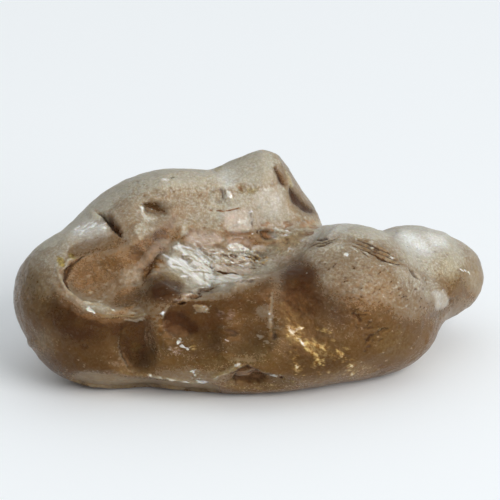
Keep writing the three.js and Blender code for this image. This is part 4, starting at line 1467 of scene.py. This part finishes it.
@dataclass(frozen=True)
class RightRidge:
    """The ridge at the right front: dark eye, fissures, sandy frost, pits and the golden glow below."""

    crack: float = 0.22

    def marks(self) -> list[Mark]:
        """The marks on the front drawing."""
        return [*self.crest(), *self.face(), *self.glow()]

    def crest(self) -> list[Mark]:
        """The crest, its fissures and the dark eye under it."""
        return [
            # Painted sheen and highlights along the pale crest.
            Stroke(((2.8, 0.9), (4.2, 1.3), (5.2, 1.1), (6.4, 0.8), (7.4, 1.2)), 0.6,
                {FROST: 1.3, FRESH: 0.15}),
            Area(((2.6, 0.2), (3.4, 0.9), (4.8, 1), (6.2, 0.4), (5.6, 0.1), (4, 0)), 0.4, {FROST: 0.7}),
            Area(((4.8, 0.2), (6, 0.6), (7.6, -0.6), (8, -1.6), (6.4, -1.8), (5, -0.6)), 0.6,
                {FROST: -0.35}),
            Stroke(((3.1, -0.05), (4, 0.1), (4.7, 0.05)), 0.3, {FROST: 0.9}, -0.03),
            Area(((2.6, 0.65), (3.3, 1.15), (4.3, 1.4), (5, 1.25), (4.4, 0.85), (3.3, 0.5)), 0.25,
                {FROST: 1.2, MILK: 0.4, FRESH: 0.25}),
            Area(((1.55, -0.8), (2.25, -0.4), (3, -0.5), (3.5, -1), (3.6, -1.8), (3.7, -2.8), (3.2, -3.5),
                (1.6, -3.4), (1.35, -1.75)), 0.6, {CLEAR: 0.95, FROST: -1.0}, 0.05),
            Stroke(((1.9, -0.9), (2.45, -0.65), (2.95, -0.85)), 0.4, {DIRT: 0.35}, 0.03),
            Stroke(((2, -1.3), (2.1, -2.2)), 0.3, {STAIN: 0.25}),
            # A painted glint.
            Stroke(((2.83, -1.1),), 0.06, {FRESH: 1.0}),
            Area(((2.9, 0.05), (3.6, 0.2), (4.4, 0.55), (4.1, 0.7), (3.3, 0.5)), 0.2,
                {CLEAR: 0.3, FROST: -0.35}, 0.03),
            *[
                Stroke(line, 0.08, {DIRT: 0.7}, 0.5 * self.crack)
                for line in (
                    ((3, 0.1), (3.35, 0.3), (3.7, 0.4), (4.25, 0.62)),
                    ((3.3, 0.12), (3.7, 0.25), (4.1, 0.45)),
                    ((3.25, 0.45), (3.6, 0.55), (4, 0.68)),
                )
            ],
            Area(((5, 0.7), (6, 0.42), (7.2, -0.15), (7.8, -0.75), (6.6, -0.5), (5.1, 0.15)), 0.35,
                {CLEAR: 0.3, FROST: -0.35}, 0.03),
            *[
                Stroke(line, 0.09, {DIRT: dark}, depth)
                for line, depth, dark in (
                    (((5, 0.27), (6.1, -0.13), (6.75, -0.45), (7.7, -0.72)), 0.7 * self.crack, 0.75),
                    (((5.2, 0.6), (6.2, 0.22), (7.35, -0.34)), 0.6 * self.crack, 0.7),
                    (((5.1, 0.42), (5.8, 0.2), (6.3, -0.05), (7, -0.3)), 0.4 * self.crack, 0.6),
                    (((5.9, 0.2), (6.6, -0.15), (7.5, -0.5)), 0.4 * self.crack, 0.6),
                )
            ],
            *scatter(((5, 0.8), (6.2, 0.5), (7.8, -0.5), (7.6, -0.85), (5, 0)), 44, 0.06, 30, {DIRT: 0.6},
                0.05, 0.45, -24.0),
            *scatter(((4.8, 0.8), (6.2, 0.5), (7.9, -0.6), (7.4, -1), (4.8, 0)), 40, 0.05, 31,
                {FRESH: 0.6, FROST: 1.0}, -0.03, 0.4, -24.0),
            Stroke(((7.95, -0.88), (8.15, -1.1), (8.4, -1.45)), 0.1, {DIRT: 0.62}, 0.14),
            # A painted glint.
            Stroke(((4.7, -0.18), (5.05, -0.3)), 0.13, {FRESH: 1.0}, -0.04),
        ]

    def face(self) -> list[Mark]:
        """The sandy face, its pits, and the brown skin below them."""
        sandy = ((3.5, -0.6), (4.75, -0.35), (6.5, -0.9), (8.5, -1.7), (9.1, -2.5), (8.5, -3.3),
            (7.25, -2.9), (5.5, -2.7), (4.25, -1.9))
        return [
            Area(sandy, 0.7, {FROST: 0.4}),
            Area(((7.2, -0.6), (8.8, -1), (9.6, -1.6), (9.2, -2.6), (8, -2.2), (7.2, -1.4)), 0.5,
                {FROST: 0.8, FRESH: 0.2}),
            *scatter(sandy, 240, 0.08, 32, {FRESH: 0.5, FROST: 0.8}, -0.015, 0.15, -30.0),
            *scatter(sandy, 200, 0.09, 33, {CLEAR: 0.7, FROST: -0.6}, 0.012, 0.15, -40.0),
            Stroke(((5, -1.1), (5.5, -1.4)), 0.5, {FROST: 0.6}),
            Area(((3.9, -0.2), (5, -0.4), (5.4, -1.4), (4.4, -1.8), (3.7, -1)), 0.5, {FROST: -0.35}),
            Area(((4.2, -1.8), (6, -2.4), (7, -2.8), (7, -3.5), (5.8, -3.3), (4.4, -2.6)), 0.4,
                {FROST: -0.4, CLEAR: 0.3}),
            Area(((7.2, -2.6), (8.6, -2.9), (8.4, -3.5), (7.4, -3.4)), 0.4, {FROST: 0.35}),
            *[
                Stroke(line, width, {DIRT: 0.5, CLEAR: 0.9, FROST: -1.0}, 0.1)
                for line, width in (
                    (((5.1, -3.15), (5.35, -3.4)), 0.14),
                    (((5.35, -3.25), (5.6, -3.55)), 0.12),
                    (((5.9, -3.75), (6, -3.85)), 0.12),
                    (((5.75, -4.75), (5.95, -4.45), (6.3, -4.2)), 0.14),
                    (((6.3, -4.15), (6.9, -3.9)), 0.16),
                    (((5.8, -5.1),), 0.1),
                )
            ],
            *scatter(((4.9, -3), (5.7, -3), (6, -3.7), (5.4, -3.9)), 22, 0.1, 96,
                {DIRT: 0.5, CLEAR: 1.0, FROST: -1.0}, 0.05, 0.15, -50.0),
            *scatter(((5.6, -4), (7, -3.7), (6.4, -4.7), (5.6, -5)), 26, 0.1, 97, {DIRT: 0.45, CLEAR: 1.0},
                0.04, 0.2, 40.0),
            Area(((6.3, -3.9), (7.2, -3.8), (8, -4.3), (7.6, -5.4), (6.4, -5.2)), 0.5,
                {GOLD: 0.1, OLIVE: 0.12}),
            Area(((1.4, -2.4), (4, -2.2), (6.6, -3.2), (8.6, -3.6), (7.6, -5.4), (5, -6.2), (2, -6.2)), 0.5,
                {CLEAR: 0.3}),
            Area(((3.2, -2), (4.3, -2.2), (5.4, -3.2), (4.8, -4), (3.3, -3.5), (2.9, -2.6)), 0.6,
                {CLEAR: 0.65, FROST: -0.5}),
            Area(((5.2, -3.3), (7, -3.4), (6.4, -4.6), (5.2, -4.6)), 0.5, {CLEAR: 0.4}),
            Stroke(((9, -3.4), (9.75, -2.95), (10.5, -2.3)), 0.35, {CLEAR: 0.3}, 0.08),
            *scatter(((3, -2), (8.5, -3.2), (7.5, -5.5), (4, -6.3), (2, -5)), 80, 0.07, 34, {FROST: 0.25},
                -0.012),
        ]

    def glow(self) -> list[Mark]:
        """The place where golden flaws shine through the skin, in a painted glow."""
        return [
            # A painted glow around the golden flaws.
            Area(((1.3, -3), (2.2, -2.7), (3.4, -3.3), (4.4, -4.25), (5.2, -5.4), (4.6, -6.3), (3, -6.4),
                (1.75, -5.75)), 0.8, {GOLD: 0.06, CLEAR: 0.65, FROST: -0.9}),
            Stroke(((1.55, -2.5), (1.9, -3.2), (2.3, -3.9)), 0.5, {GOLD: 0.2}),
            Area(((1.75, -3.9), (2.3, -3.85), (2.8, -4.5), (2.5, -4.8), (1.9, -4.5)), 0.3, {GOLD: 0.42}),
            Area(((2.6, -4.6), (3.6, -4.7), (4.2, -5.2), (3.4, -5.3)), 0.4, {GOLD: 0.5}),
            *[
                Stroke(line, width, {GOLD: 1.15, FRESH: white}, -0.015)
                for line, width, white in (
                    (((1.85, -3.75), (2.05, -4), (2.3, -4.15)), 0.16, 0.6),
                    (((2.1, -4.2), (2.35, -3.95), (2.7, -3.9)), 0.14, 0.6),
                    (((1.8, -4.3), (2.1, -4.2), (2.35, -4.35)), 0.14, 0.52),
                    (((2.35, -4.35), (2.5, -4.6), (2.75, -4.9)), 0.09, 0.72),
                    (((2.5, -4.75), (3, -4.7), (3.5, -4.85), (3.9, -5)), 0.13, 0.3),
                    (((2.7, -4.95), (3.1, -5.15), (3.4, -5.5)), 0.13, 0.25),
                    (((4.35, -4.9), (4.5, -5.1), (4.6, -5.35)), 0.14, 0.42),
                )
            ],
            *along(((1.8, -4), (2.2, -4.1), (2.5, -4.3)), 14, 0.08, 66, {GOLD: 1.1, FRESH: 0.42}, -0.02, 0.2,
                0.14),
            *along(((2.3, -4.3), (2.55, -4.65), (2.8, -4.95)), 10, 0.07, 67, {GOLD: 1.1, FRESH: 0.5}, -0.02,
                0.25, 0.06),
            *along(((2.3, -4.55), (3, -4.75), (3.9, -4.95)), 16, 0.08, 68, {GOLD: 1.0, FRESH: 0.3}, -0.01,
                0.4, 0.1),
            *along(((2.9, -4.9), (3.2, -5.3), (3.5, -5.6)), 12, 0.1, 69, {GOLD: 1.0}, -0.01, 0.35, 0.12),
            *along(((3.3, -4), (3.9, -4.1), (4.2, -4.3)), 8, 0.07, 70, {GOLD: 1.0, FRESH: 0.3}, -0.01, 0.35,
                0.07),
            *along(((4.4, -4.9), (4.6, -5.3)), 8, 0.08, 71, {GOLD: 1.1, FRESH: 0.5}, -0.01, 0.2, 0.08),
            *along(((4.9, -5.7), (5.1, -6.1)), 18, 0.11, 72, {GOLD: 1.1, FRESH: 0.55}, -0.01, 0.2, 0.14),
            *along(((2.2, -5.6), (2.4, -6.1), (2.6, -6.3)), 18, 0.1, 73, {GOLD: 1.1, FRESH: 0.55}, -0.01,
                0.2, 0.12),
            *along(((3.2, -5.5), (3.7, -5.8)), 8, 0.09, 74, {GOLD: 1.0}, -0.01, 0.25, 0.1),
            *scatter(((1.6, -3.2), (3.4, -3.6), (5.2, -5.4), (4.6, -6.2), (2.2, -6.2)), 50, 0.07, 36,
                {GOLD: 0.7}, -0.01, 0.3, -35.0),
        ]


@dataclass(frozen=True)
class RightEnd:
    """The right lobe and tip: glossy, pale and almost clear, with painted highlights on the lobe."""

    def marks(self) -> list[Mark]:
        """The marks on the front drawing."""
        return [
            Area(((6.9, 0.9), (8.3, 1.6), (10.2, 1), (10.9, -0.4), (10.2, -1.3), (9, -1.4), (7.7, -0.6)),
                0.5, {FROST: 1.15}),
            # Painted highlights on the lobe.
            Area(((7.3, 0.9), (8.2, 1.2), (9.6, 0.95), (9.9, 0.2), (9.2, -0.3), (8.3, -0.1)), 0.45,
                {MILK: 0.35, FROST: 1.3}),
            Area(((7.4, 0.8), (8.1, 0.9), (9.1, 0.3), (9.1, -0.2), (8.2, 0)), 0.35,
                {MILK: 0.95, FRESH: 0.3, FROST: 1.0}, flatten=0.3, facing=(0.5, -0.65, 0.55)),
            Area(((8.6, 0.8), (9.6, 0.8), (9.9, 0.2), (9.2, 0.15)), 0.3, {MILK: 0.7, FROST: 1.0},
                flatten=0.3, facing=(0.5, -0.6, 0.6)),
            Area(((8.6, -0.1), (9.4, -0.15), (9.4, -0.8), (8.8, -0.8)), 0.35, {FROST: 0.7}),
            Area(((8.2, -0.5), (9.4, -0.8), (9.8, -1.6), (8.9, -1.5), (8.1, -1)), 0.35, {FROST: -0.15}),
            Area(((9.4, -0.4), (10.6, -0.6), (10.9, -1.6), (10.3, -2.2), (9.5, -1.6)), 0.6,
                {FROST: -0.1, OLIVE: 0.25}),
            *scatter(((7.4, 0.9), (9.6, 0.9), (10.6, -0.6), (9.4, -1.2), (8.2, -0.4)), 30, 0.09, 37,
                {FRESH: 0.5}, -0.006, 0.35, -30.0),
            *scatter(((6.8, 0.9), (9.6, 0.9), (10.8, -0.6), (9, -1.8), (7.8, -0.6)), 50, 0.07, 38,
                {CLEAR: 0.5, FROST: -0.6}, 0.02, 0.15, -30.0),
            Area(((9.1, -2.15), (9.4, -2.05), (9.7, -2), (9.85, -2.3), (10, -2.65), (9.7, -2.85),
                (9.4, -2.95), (9.25, -2.5)), 0.14, {MILK: 0.3, FRESH: 0.2, FROST: 0.8}, 0.02, flatten=0.5),
            *scatter(((9.1, -2.15), (9.7, -2), (10, -2.65), (9.4, -2.95)), 8, 0.06, 79, {FRESH: 0.7}, -0.01,
                0.4, -60.0),
            Stroke(((10.05, -2.5), (10.28, -2.62)), 0.09, {DIRT: 0.6}, 0.06),
            Area(((10.6, -0.2), (11.4, -0.4), (11.9, -1.2), (11.6, -2.4), (10.9, -1.9), (10.6, -1)), 0.4,
                {FROST: 0.5, OLIVE: 0.1}),
            *[
                Stroke(((x, -0.88 - 0.25 * x + 2.6), (x + 0.25, -1.1 - 0.25 * x + 2.6)), 0.05, {FRESH: 0.9},
                    -0.02)
                for x in (10.45, 10.65, 10.85)
            ],
            Area(((9.2, -3.2), (10.6, -2.4), (11.2, -2.6), (10.2, -3.6)), 0.4, {FROST: 0.3}),
        ]


@dataclass(frozen=True)
class FarSides:
    """The sides turned away from the front: the same worn skin, with a few chips, ledges and pits."""

    chip: float = 0.1

    def marks(self) -> dict[Side, list[Mark]]:
        """The marks on each side's drawing."""
        return {
            Side.BACK: self.back(), Side.LEFT: self.left(), Side.RIGHT: self.right(), Side.TOP: self.top()
        }

    def back(self) -> list[Mark]:
        """The back: a dark hollow with ledges at its edge, a pale broad facet, pits and a fissure."""
        hollow = ((1.2, 0.6), (3.4, 1.2), (5.6, 0.2), (6, -1.6), (4.4, -3), (2, -2.6), (0.8, -1))
        facet = ((-8.6, -0.4), (-6.4, 0.8), (-3.4, 0.6), (-2.6, -1.2), (-4.6, -2.4), (-7.8, -2))
        wall = ((-10, 0.5), (0, 3), (9, 1), (9, -4.5), (-9, -4.5))
        return [
            Area(((-13, -6.5), (-13, 6), (13, 6), (13, -6.5)), 1.0, {FROST: 0.42}),
            Area(hollow, 1.0, {CLEAR: 0.45, FROST: -0.6}, 0.06),
            *along(hollow[:4], 26, 0.16, 80, {FROST: 0.8, FRESH: 0.3}, -0.02, 0.5, 0.12),
            *[
                Stroke(line, 0.6, {CLEAR: 0.3}, self.chip, Cut.STEP)
                for line in (
                    ((5.8, -0.4), (4.6, 0.6), (3, 0.9), (1.6, 0.4)),
                    ((5.4, -1.4), (4.2, -0.4), (2.8, -0.2), (1.8, -0.6)),
                )
            ],
            Area(facet, 0.6, {FROST: 0.8, FRESH: 0.2}, flatten=0.5),
            *scatter(facet, 40, 0.14, 81, {FRESH: 0.45, FROST: 0.9}, -0.02, 0.6, 20.0),
            *scatter(facet, 30, 0.12, 82, {CLEAR: 0.6, STAIN: 0.3}, 0.04, 0.4, 20.0),
            Stroke(((-2.4, 1.6), (-1.6, 0.4), (-1.2, -1)), 0.14, {DIRT: 0.6, STAIN: 0.4}, 0.14),
            Stroke(((7.2, 0.6), (8, -0.4), (8.2, -1.4)), 0.5, {FROST: 0.6}, -0.06),
            Stroke(((6.6, -2.6), (7.2, -3)), 0.3, {DIRT: 0.4, CLEAR: 0.6}, 0.12),
            Stroke(((-0.4, 2.2), (0.1, 2)), 0.28, {DIRT: 0.4, CLEAR: 0.5}, 0.14),
            Area(((-9.6, -2.2), (-6, -3), (-2, -3.4), (-2.4, -4.8), (-8, -4.4)), 1.2,
                {CLEAR: 0.45, FROST: -0.5}),
            Area(((2, -3.6), (6, -3.6), (9, -3), (8, -4.8), (3, -5)), 1.2, {CLEAR: 0.35, FROST: -0.4}),
            *scatter(wall, 90, 0.12, 83, {CLEAR: 0.4, FROST: -0.4}, 0.03, 0.25),
            *scatter(wall, 80, 0.16, 84, {FROST: 0.6}, -0.012, 0.5),
            *scatter(((-4, -3.4), (-1, -3), (-1.2, -4.6), (-3.8, -4.6)), 16, 0.14, 85, {GOLD: 0.8}, 0.0,
                0.4),
        ]

    def left(self) -> list[Mark]:
        """The left end: a smooth worn cheek with a shallow chip."""
        cheek = ((-3.4, 1), (3.4, 1), (3.4, -4.5), (-3.4, -4.5))
        return [
            Area(((-8, -6.5), (-8, 6), (8, 6), (8, -6.5)), 1.0, {FROST: 0.42}),
            Area(((-3, -0.5), (-1, 0.6), (1.6, 0.2), (1.8, -1.6), (-1, -2.2)), 1.0, {FROST: 0.6}),
            Area(((-2.6, -2.6), (0, -2.4), (2.4, -2.8), (2, -4.4), (-2, -4.4)), 1.0,
                {CLEAR: 0.45, FROST: -0.5}),
            Area(((0.4, -0.8), (1.4, -0.4), (2, -1.2), (1.2, -1.8)), 0.14, {FRESH: 0.4, FROST: 0.8}, 0.06,
                flatten=0.6),
            Stroke(((-1.8, -1), (-1.2, -1.6), (-0.4, -1.8)), 0.16, {DIRT: 0.5, STAIN: 0.3}, 0.1),
            *scatter(cheek, 40, 0.15, 86, {FROST: 0.6}, -0.012, 0.45),
            *scatter(cheek, 40, 0.12, 87, {CLEAR: 0.5}, 0.03, 0.1),
        ]

    def right(self) -> list[Mark]:
        """The right end: the pale tip and the frosted flank under it."""
        flank = ((-3.4, 1), (3.6, 1), (3.4, -4.5), (-3.4, -4.5))
        return [
            Area(((-8, -6.5), (-8, 6), (8, 6), (8, -6.5)), 1.0, {FROST: 0.45}),
            Area(((-1.6, 0.6), (1.8, 1), (3.2, -0.8), (1.6, -2.4), (-1.4, -1.8)), 1.0,
                {FROST: 0.8, FRESH: 0.15}),
            Area(((-3.4, -2.6), (0.4, -2.8), (2.8, -3.2), (1.6, -4.6), (-3, -4.6)), 1.0,
                {CLEAR: 0.4, FROST: -0.5}),
            Stroke(((1, -0.4), (1.6, -1), (2, -1.8)), 0.16, {DIRT: 0.5}, 0.12),
            Area(((-0.6, -0.6), (0.6, -0.2), (0.8, -1.2), (-0.4, -1.4)), 0.14, {FRESH: 0.5, FROST: 1.0},
                0.04, flatten=0.6),
            *scatter(flank, 40, 0.15, 88, {FROST: 0.6}, -0.012, 0.45),
            *scatter(flank, 50, 0.12, 89, {CLEAR: 0.5}, 0.03, 0.1),
        ]

    def top(self) -> list[Mark]:
        """The top behind the knob and ridges: even frosting with worn pits."""
        crown = ((-8, -1), (-2, 2.6), (4, 2.4), (9, 1.6), (8, 0))
        return [
            Area(((-6, 0.6), (-2, 2.2), (2, 2.2), (1.6, 0.4), (-3, -0.4)), 0.6, {FROST: 1.0, FRESH: 0.2}),
            *scatter(crown, 70, 0.12, 90, {FRESH: 0.4}, -0.012, 0.3),
            *scatter(crown, 50, 0.13, 91, {CLEAR: 0.5}, 0.04, 0.1),
        ]


@dataclass(frozen=True)
class GoldenFilm:
    """The inside of a healed crack: a thin film that reflects yellow light."""

    amber: str = "#b9801f"
    straw: str = "#f4dfa4"
    change_mm: float = 0.15
    roughness: float = 0.35

    def material(self) -> bpy.types.Material:
        """Makes the finish."""
        material = bpy.data.materials.new("healed_crack_film")
        material.use_nodes = True
        tree = material.node_tree
        place = add(tree, "TexCoord").outputs["Object"]
        size = self.change_mm * MM
        grain = add(tree, "TexNoise", {"Vector": place, "Scale": 1.0 / size}).outputs["Fac"]
        share = add(tree, "MapRange", {"Value": grain, "From Min": 0.35, "From Max": 0.65})
        tones = {0: share.outputs["Result"], 6: linear(self.amber), 7: linear(self.straw)}
        colour = add(tree, "Mix", tones, data_type="RGBA").outputs[2]
        shader = tree.nodes["Principled BSDF"]
        tree.links.new(colour, shader.inputs["Base Color"])
        shader.inputs["Roughness"].default_value = self.roughness
        return material


@dataclass(frozen=True)
class HealedCracks:
    """Golden feathers sealed in the crystal: thin crinkled plates under the skin of the lower front.

    Each of `fields` is an outline on the front drawing, with the number of plates to try in it and
    their length in mm. `depths` is how far below the skin their middles lie, and `cover` the least
    crystal left over a plate. A pair of noise numbers is what seeds it and how fast it changes.
    """

    fields: tuple[tuple[Outline, int, float], ...] = (
        (((1.8, -3.8), (2.5, -3.8), (2.9, -4.6), (2.4, -4.9), (1.8, -4.5)), 22, 0.42),
        (((2.4, -4.4), (4.3, -4.7), (4.4, -5.4), (3.2, -5.5)), 26, 0.5),
        (((3.2, -3.8), (4.4, -4.0), (4.8, -5.4), (5.3, -6.0), (4.7, -6.1)), 16, 0.4),
        (((1.9, -5.4), (2.8, -5.4), (2.8, -6.2), (2.0, -6.1)), 10, 0.36),
        (((-2.9, -4.6), (-2.3, -4.6), (-2.3, -5.1), (-2.9, -5.1)), 5, 0.3),
    )
    depths: tuple[float, float] = (0.18, 0.7)
    thickness: float = 0.03
    slimness: float = 0.34
    cover: float = 0.1
    raggedness: float = 0.5
    ragged_noise: tuple[float, float] = (40.0, 2.0)
    crinkling: float = 0.25
    crinkle_noise: tuple[float, float] = (90.0, 1.6)
    lean: tuple[float, float] = (-0.6, 0.7)
    tilting: float = 0.35
    lengths: tuple[float, float] = (0.5, 1.3)
    seed: int = 7

    def plate(
        self, mesh: bmesh.types.BMesh, tree: BVHTree, centre: Vector, facing: Vector, size: float,
        turn: float,
    ) -> None:
        """Adds one closed crinkled plate.

        Args:
            mesh: The mesh to add to, in mm.
            tree: The stone's skin in mm, which the plate stays under.
            centre: The plate's middle, in mm.
            facing: The direction that the plate faces.
            size: The plate's length in mm. It is a third as wide.
            turn: The plate's turn about its facing, in radians.
        """
        across = facing.to_track_quat("Z", "Y").to_matrix() @ Matrix.Rotation(turn, 3, "Z")
        ball = bmesh.ops.create_icosphere(mesh, subdivisions=3, radius=1.0)
        for vertex in ball["verts"]:
            x, y, z = vertex.co
            rags, crinkles = (
                noise.noise(Vector((x, y, size * seed)) * rate)
                for seed, rate in (self.ragged_noise, self.crinkle_noise)
            )
            ragged = 1.0 + self.raggedness * rags
            crinkle = self.crinkling * size * crinkles
            half = 0.5 * size * ragged
            lift = 0.5 * z * self.thickness + crinkle
            at = centre + across @ Vector((x * half, y * half * self.slimness, lift))
            skin, outwards, _, _ = tree.find_nearest(at)
            if (at - skin).dot(outwards) > -self.cover:
                at = skin - outwards * self.cover
            vertex.co = at

    def build(self, front: Drawing, stone: bpy.types.Object) -> bpy.types.Object:
        """Builds and dresses the feathers.

        Args:
            front: The front drawing.
            stone: The finished stone.

        Returns:
            The feathers' object.
        """
        corners = [vertex.co / MM for vertex in stone.data.vertices]
        tree = BVHTree.FromPolygons(corners, [tuple(face.vertices) for face in stone.data.polygons])
        random = np.random.default_rng(self.seed)
        eye = front.eye()
        right, up, back = (Vector(axis) for axis in front.axes())
        mesh = bmesh.new()
        for outline, count, size in self.fields:
            whole = Area(outline, soft=HARD_EDGE)
            low, high = np.array(outline).min(0), np.array(outline).max(0)
            for _ in range(count):
                place = random.uniform(low, high)
                depth, turn = random.uniform(*self.depths), random.normal(*self.lean)
                tilt = Vector(random.normal(0.0, self.tilting, 3))
                length = size * random.uniform(*self.lengths)
                if whole.weights(place[None])[0][0] < 0.5:
                    continue
                aim = Vector(front.middle) + right * float(place[0]) + up * float(place[1])
                hit = tree.ray_cast(eye, (aim - eye).normalized())
                if hit[0] is None:
                    continue
                self.plate(mesh, tree, hit[0] - hit[1] * depth, (back + tilt).normalized(), length, turn)
        bmesh.ops.scale(mesh, vec=(MM, MM, MM), verts=mesh.verts)
        bmesh.ops.recalc_face_normals(mesh, faces=mesh.faces[:])
        data = bpy.data.meshes.new("golden_feathers")
        mesh.to_mesh(data)
        mesh.free()
        data.shade_smooth()
        data.materials.append(GoldenFilm().material())
        feathers = bpy.data.objects.new("golden_feathers", data)
        bpy.context.scene.collection.objects.link(feathers)
        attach(feathers, BODY)
        return feathers


@dataclass(frozen=True)
class Stone:
    """The whole stone: one piece of crystal."""

    cuts: int = 2
    weld: float = 1e-7
    seen_edge: float = 0.12
    smoothing: int = 12
    undulations: tuple[tuple[float, float, float], ...] = (
        (2.2, 0.05, 3.0), (0.7, 0.03, 11.0), (0.3, 0.012, 17.0)
    )
    # How much painted sheen, laid as frost, upward faces get; full where the normal's upward share reaches
    # level_top.
    painted_top_sheen: float = 0.85
    level_top: float = 0.9
    hollow_rounds: int = 6

    def fine_skin(self, front: Drawing) -> tuple[bmesh.types.BMesh, Skin]:
        """Refines a copy of the plain solid, most of all where it faces the front.

        Args:
            front: The front drawing.

        Returns:
            The fine mesh, and the skin to work.
        """
        mesh = bmesh.new()
        mesh.from_mesh(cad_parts[STONE_NODE].data)
        bmesh.ops.remove_doubles(mesh, verts=mesh.verts, dist=self.weld)
        bmesh.ops.subdivide_edges(mesh, edges=mesh.edges[:], cuts=self.cuts, use_grid_fill=True)
        bmesh.ops.triangulate(mesh, faces=mesh.faces[:])
        mesh.normal_update()
        eye = Vector(front.axes()[2])
        seen = [face for face in mesh.faces if face.normal.dot(eye) > self.seen_edge]
        edges = {edge for face in seen for edge in face.edges}
        bmesh.ops.subdivide_edges(mesh, edges=list(edges), cuts=1, use_grid_fill=True)
        bmesh.ops.triangulate(mesh, faces=mesh.faces[:])
        mesh.verts.index_update()
        points = np.array([vertex.co for vertex in mesh.verts]) / MM
        triangles = np.array([[vertex.index for vertex in face.verts] for face in mesh.faces])
        return mesh, Skin(points, triangles)

    def build(self, front: Drawing) -> bpy.types.Object:
        """Builds and dresses the stone.

        Args:
            front: The front drawing.

        Returns:
            The stone's object.
        """
        mesh, skin = self.fine_skin(front)
        skin.smooth(self.smoothing)
        for size, depth, seed in self.undulations:
            skin.move(skin.noise_at(size, seed) * depth)
        carver = Carver(skin, front)
        # Painted sheen: the more the skin faces up, the more frost it gets, so that the tops look lit from
        # above.
        skin.coats[FROST] += self.painted_top_sheen * smooth_step(skin.normals[:, 2], 0.0, self.level_top)
        for side, marks in FarSides().marks().items():
            far = Carver(skin, Drawing(side, front.middle))
            far.seen = far.coated = far.seen * (1.0 - carver.seen)
            far.work(marks)
        for region in (LeftEnd(), BackRidge(), Trough(), FrontFace(), RightRidge(), RightEnd()):
            carver.work(region.marks())
        hollow = skin.hollowness(self.hollow_rounds)
        for vertex, point in zip(mesh.verts, skin.points):
            vertex.co = point * MM
        data = bpy.data.meshes.new("river_worn_stone")
        mesh.to_mesh(data)
        mesh.free()
        data.shade_smooth()
        for name, values in [("hollow", hollow), *((c.value, v) for c, v in skin.coats.items())]:
            data.attributes.new(name, "FLOAT", "POINT").data.foreach_set("value", values.astype(np.float32))
        data.materials.append(WornZircon().material())
        stone = bpy.data.objects.new("river_worn_stone", data)
        bpy.context.scene.collection.objects.link(stone)
        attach(stone, BODY)
        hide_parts(STONE_NODE)
        return stone


# ---- Studio -------------------------------------------------------------------------------------------


@dataclass(frozen=True)
class Studio:
    """A pale floor, a pale sky, one softbox at the front right, and the camera.

    Sizes and places are in metres. Along `brightest`, between the two `turns`, the sky goes from the
    first of `strengths` to the second. The eye itself sees it evenly pale.
    """

    floor_half: float = 1.5
    lens_sensor: float = 36.0
    clipping: tuple[float, float] = (0.01, 10.0)
    sky: str = "#f2f6f9"
    brightest: tuple[float, float, float] = (0.4, 0.1, 0.9)
    turns: tuple[float, float] = (-0.25, 0.6)
    strengths: tuple[float, float] = (0.06, 0.84)
    sky_to_eye: float = 0.955
    softbox_at: tuple[float, float, float] = (0.31, -0.31, 0.25)
    softbox_size: float = 0.35
    softbox_watts: float = 1.75

    def floor(self) -> bpy.types.Object:
        """Lays the floor that the stone rests on."""
        mesh = bmesh.new()
        bmesh.ops.create_grid(mesh, x_segments=1, y_segments=1, size=self.floor_half)
        data = bpy.data.meshes.new("studio_floor")
        mesh.to_mesh(data)
        mesh.free()
        data.materials.append(StudioPaper().material())
        floor = bpy.data.objects.new("studio_floor", data)
        bpy.context.scene.collection.objects.link(floor)
        return floor

    def light(self) -> None:
        """Lights the stone from a sky that is bright above and dim in front, and from the softbox."""
        world = bpy.data.worlds.new("studio_light")
        world.use_nodes = True
        tree = world.node_tree
        tree.nodes.clear()
        direction = add(tree, "TexCoord").outputs["Generated"]
        towards = add(tree, "VectorMath", {0: direction, 1: self.brightest}, operation="DOT_PRODUCT")
        low, high = self.turns
        dim, bright = self.strengths
        depth = add(
            tree,
            "MapRange",
            {
                "Value": towards.outputs["Value"],
                "From Min": low,
                "From Max": high,
                "To Min": dim,
                "To Max": bright,
            },
            interpolation_type="SMOOTHSTEP",
        ).outputs["Result"]
        for_eye = add(tree, "LightPath").outputs["Is Camera Ray"]
        strength = add(tree, "Mix", {0: for_eye, 2: depth, 3: self.sky_to_eye}, data_type="FLOAT")
        sky = add(tree, "Background", {"Color": linear(self.sky), "Strength": strength.outputs[0]})
        add(tree, "OutputWorld", {"Surface": sky.outputs["Background"]})
        bpy.context.scene.world = world
        data = bpy.data.lights.new("key_softbox", "AREA")
        data.size = self.softbox_size
        data.energy = self.softbox_watts
        lamp = bpy.data.objects.new("key_softbox", data)
        lamp.location = self.softbox_at
        lamp.rotation_mode = "QUATERNION"
        lamp.rotation_quaternion = (-Vector(self.softbox_at)).to_track_quat("-Z", "Y")
        bpy.context.scene.collection.objects.link(lamp)

    def camera(self, drawing: Drawing) -> None:
        """Sets the camera at the eye of a drawing.

        Args:
            drawing: The drawing to look at.
        """
        data = bpy.data.cameras.new("camera")
        data.sensor_width = self.lens_sensor
        data.lens = self.lens_sensor * EYE_DISTANCE / VIEW_WIDTH
        data.clip_start, data.clip_end = self.clipping
        camera = bpy.data.objects.new("camera", data)
        turned = Matrix(drawing.axes()).transposed().to_4x4()
        camera.matrix_world = Matrix.Translation(drawing.eye() * MM) @ turned
        bpy.context.scene.collection.objects.link(camera)
        bpy.context.scene.camera = camera


def main() -> None:
    """Builds the stone, its feathers and the studio."""
    logging.basicConfig(level=logging.INFO, format="%(name)s: %(message)s")
    low, high = (np.array(corner) / MM for corner in CAD_BOX)
    middle = low + (high - low) * VIEW_AT
    front = Drawing(Side.FRONT, tuple(middle))
    stone = Stone().build(front)
    feathers = HealedCracks().build(front, stone)
    for piece in (stone, feathers):
        LOG.info("%s: %d triangles", piece.name, len(piece.data.polygons))
    studio = Studio()
    studio.floor()
    studio.light()
    studio.camera(front)
    bpy.context.scene.view_settings.view_transform = "Standard"


if __name__ == "__main__":
    main()
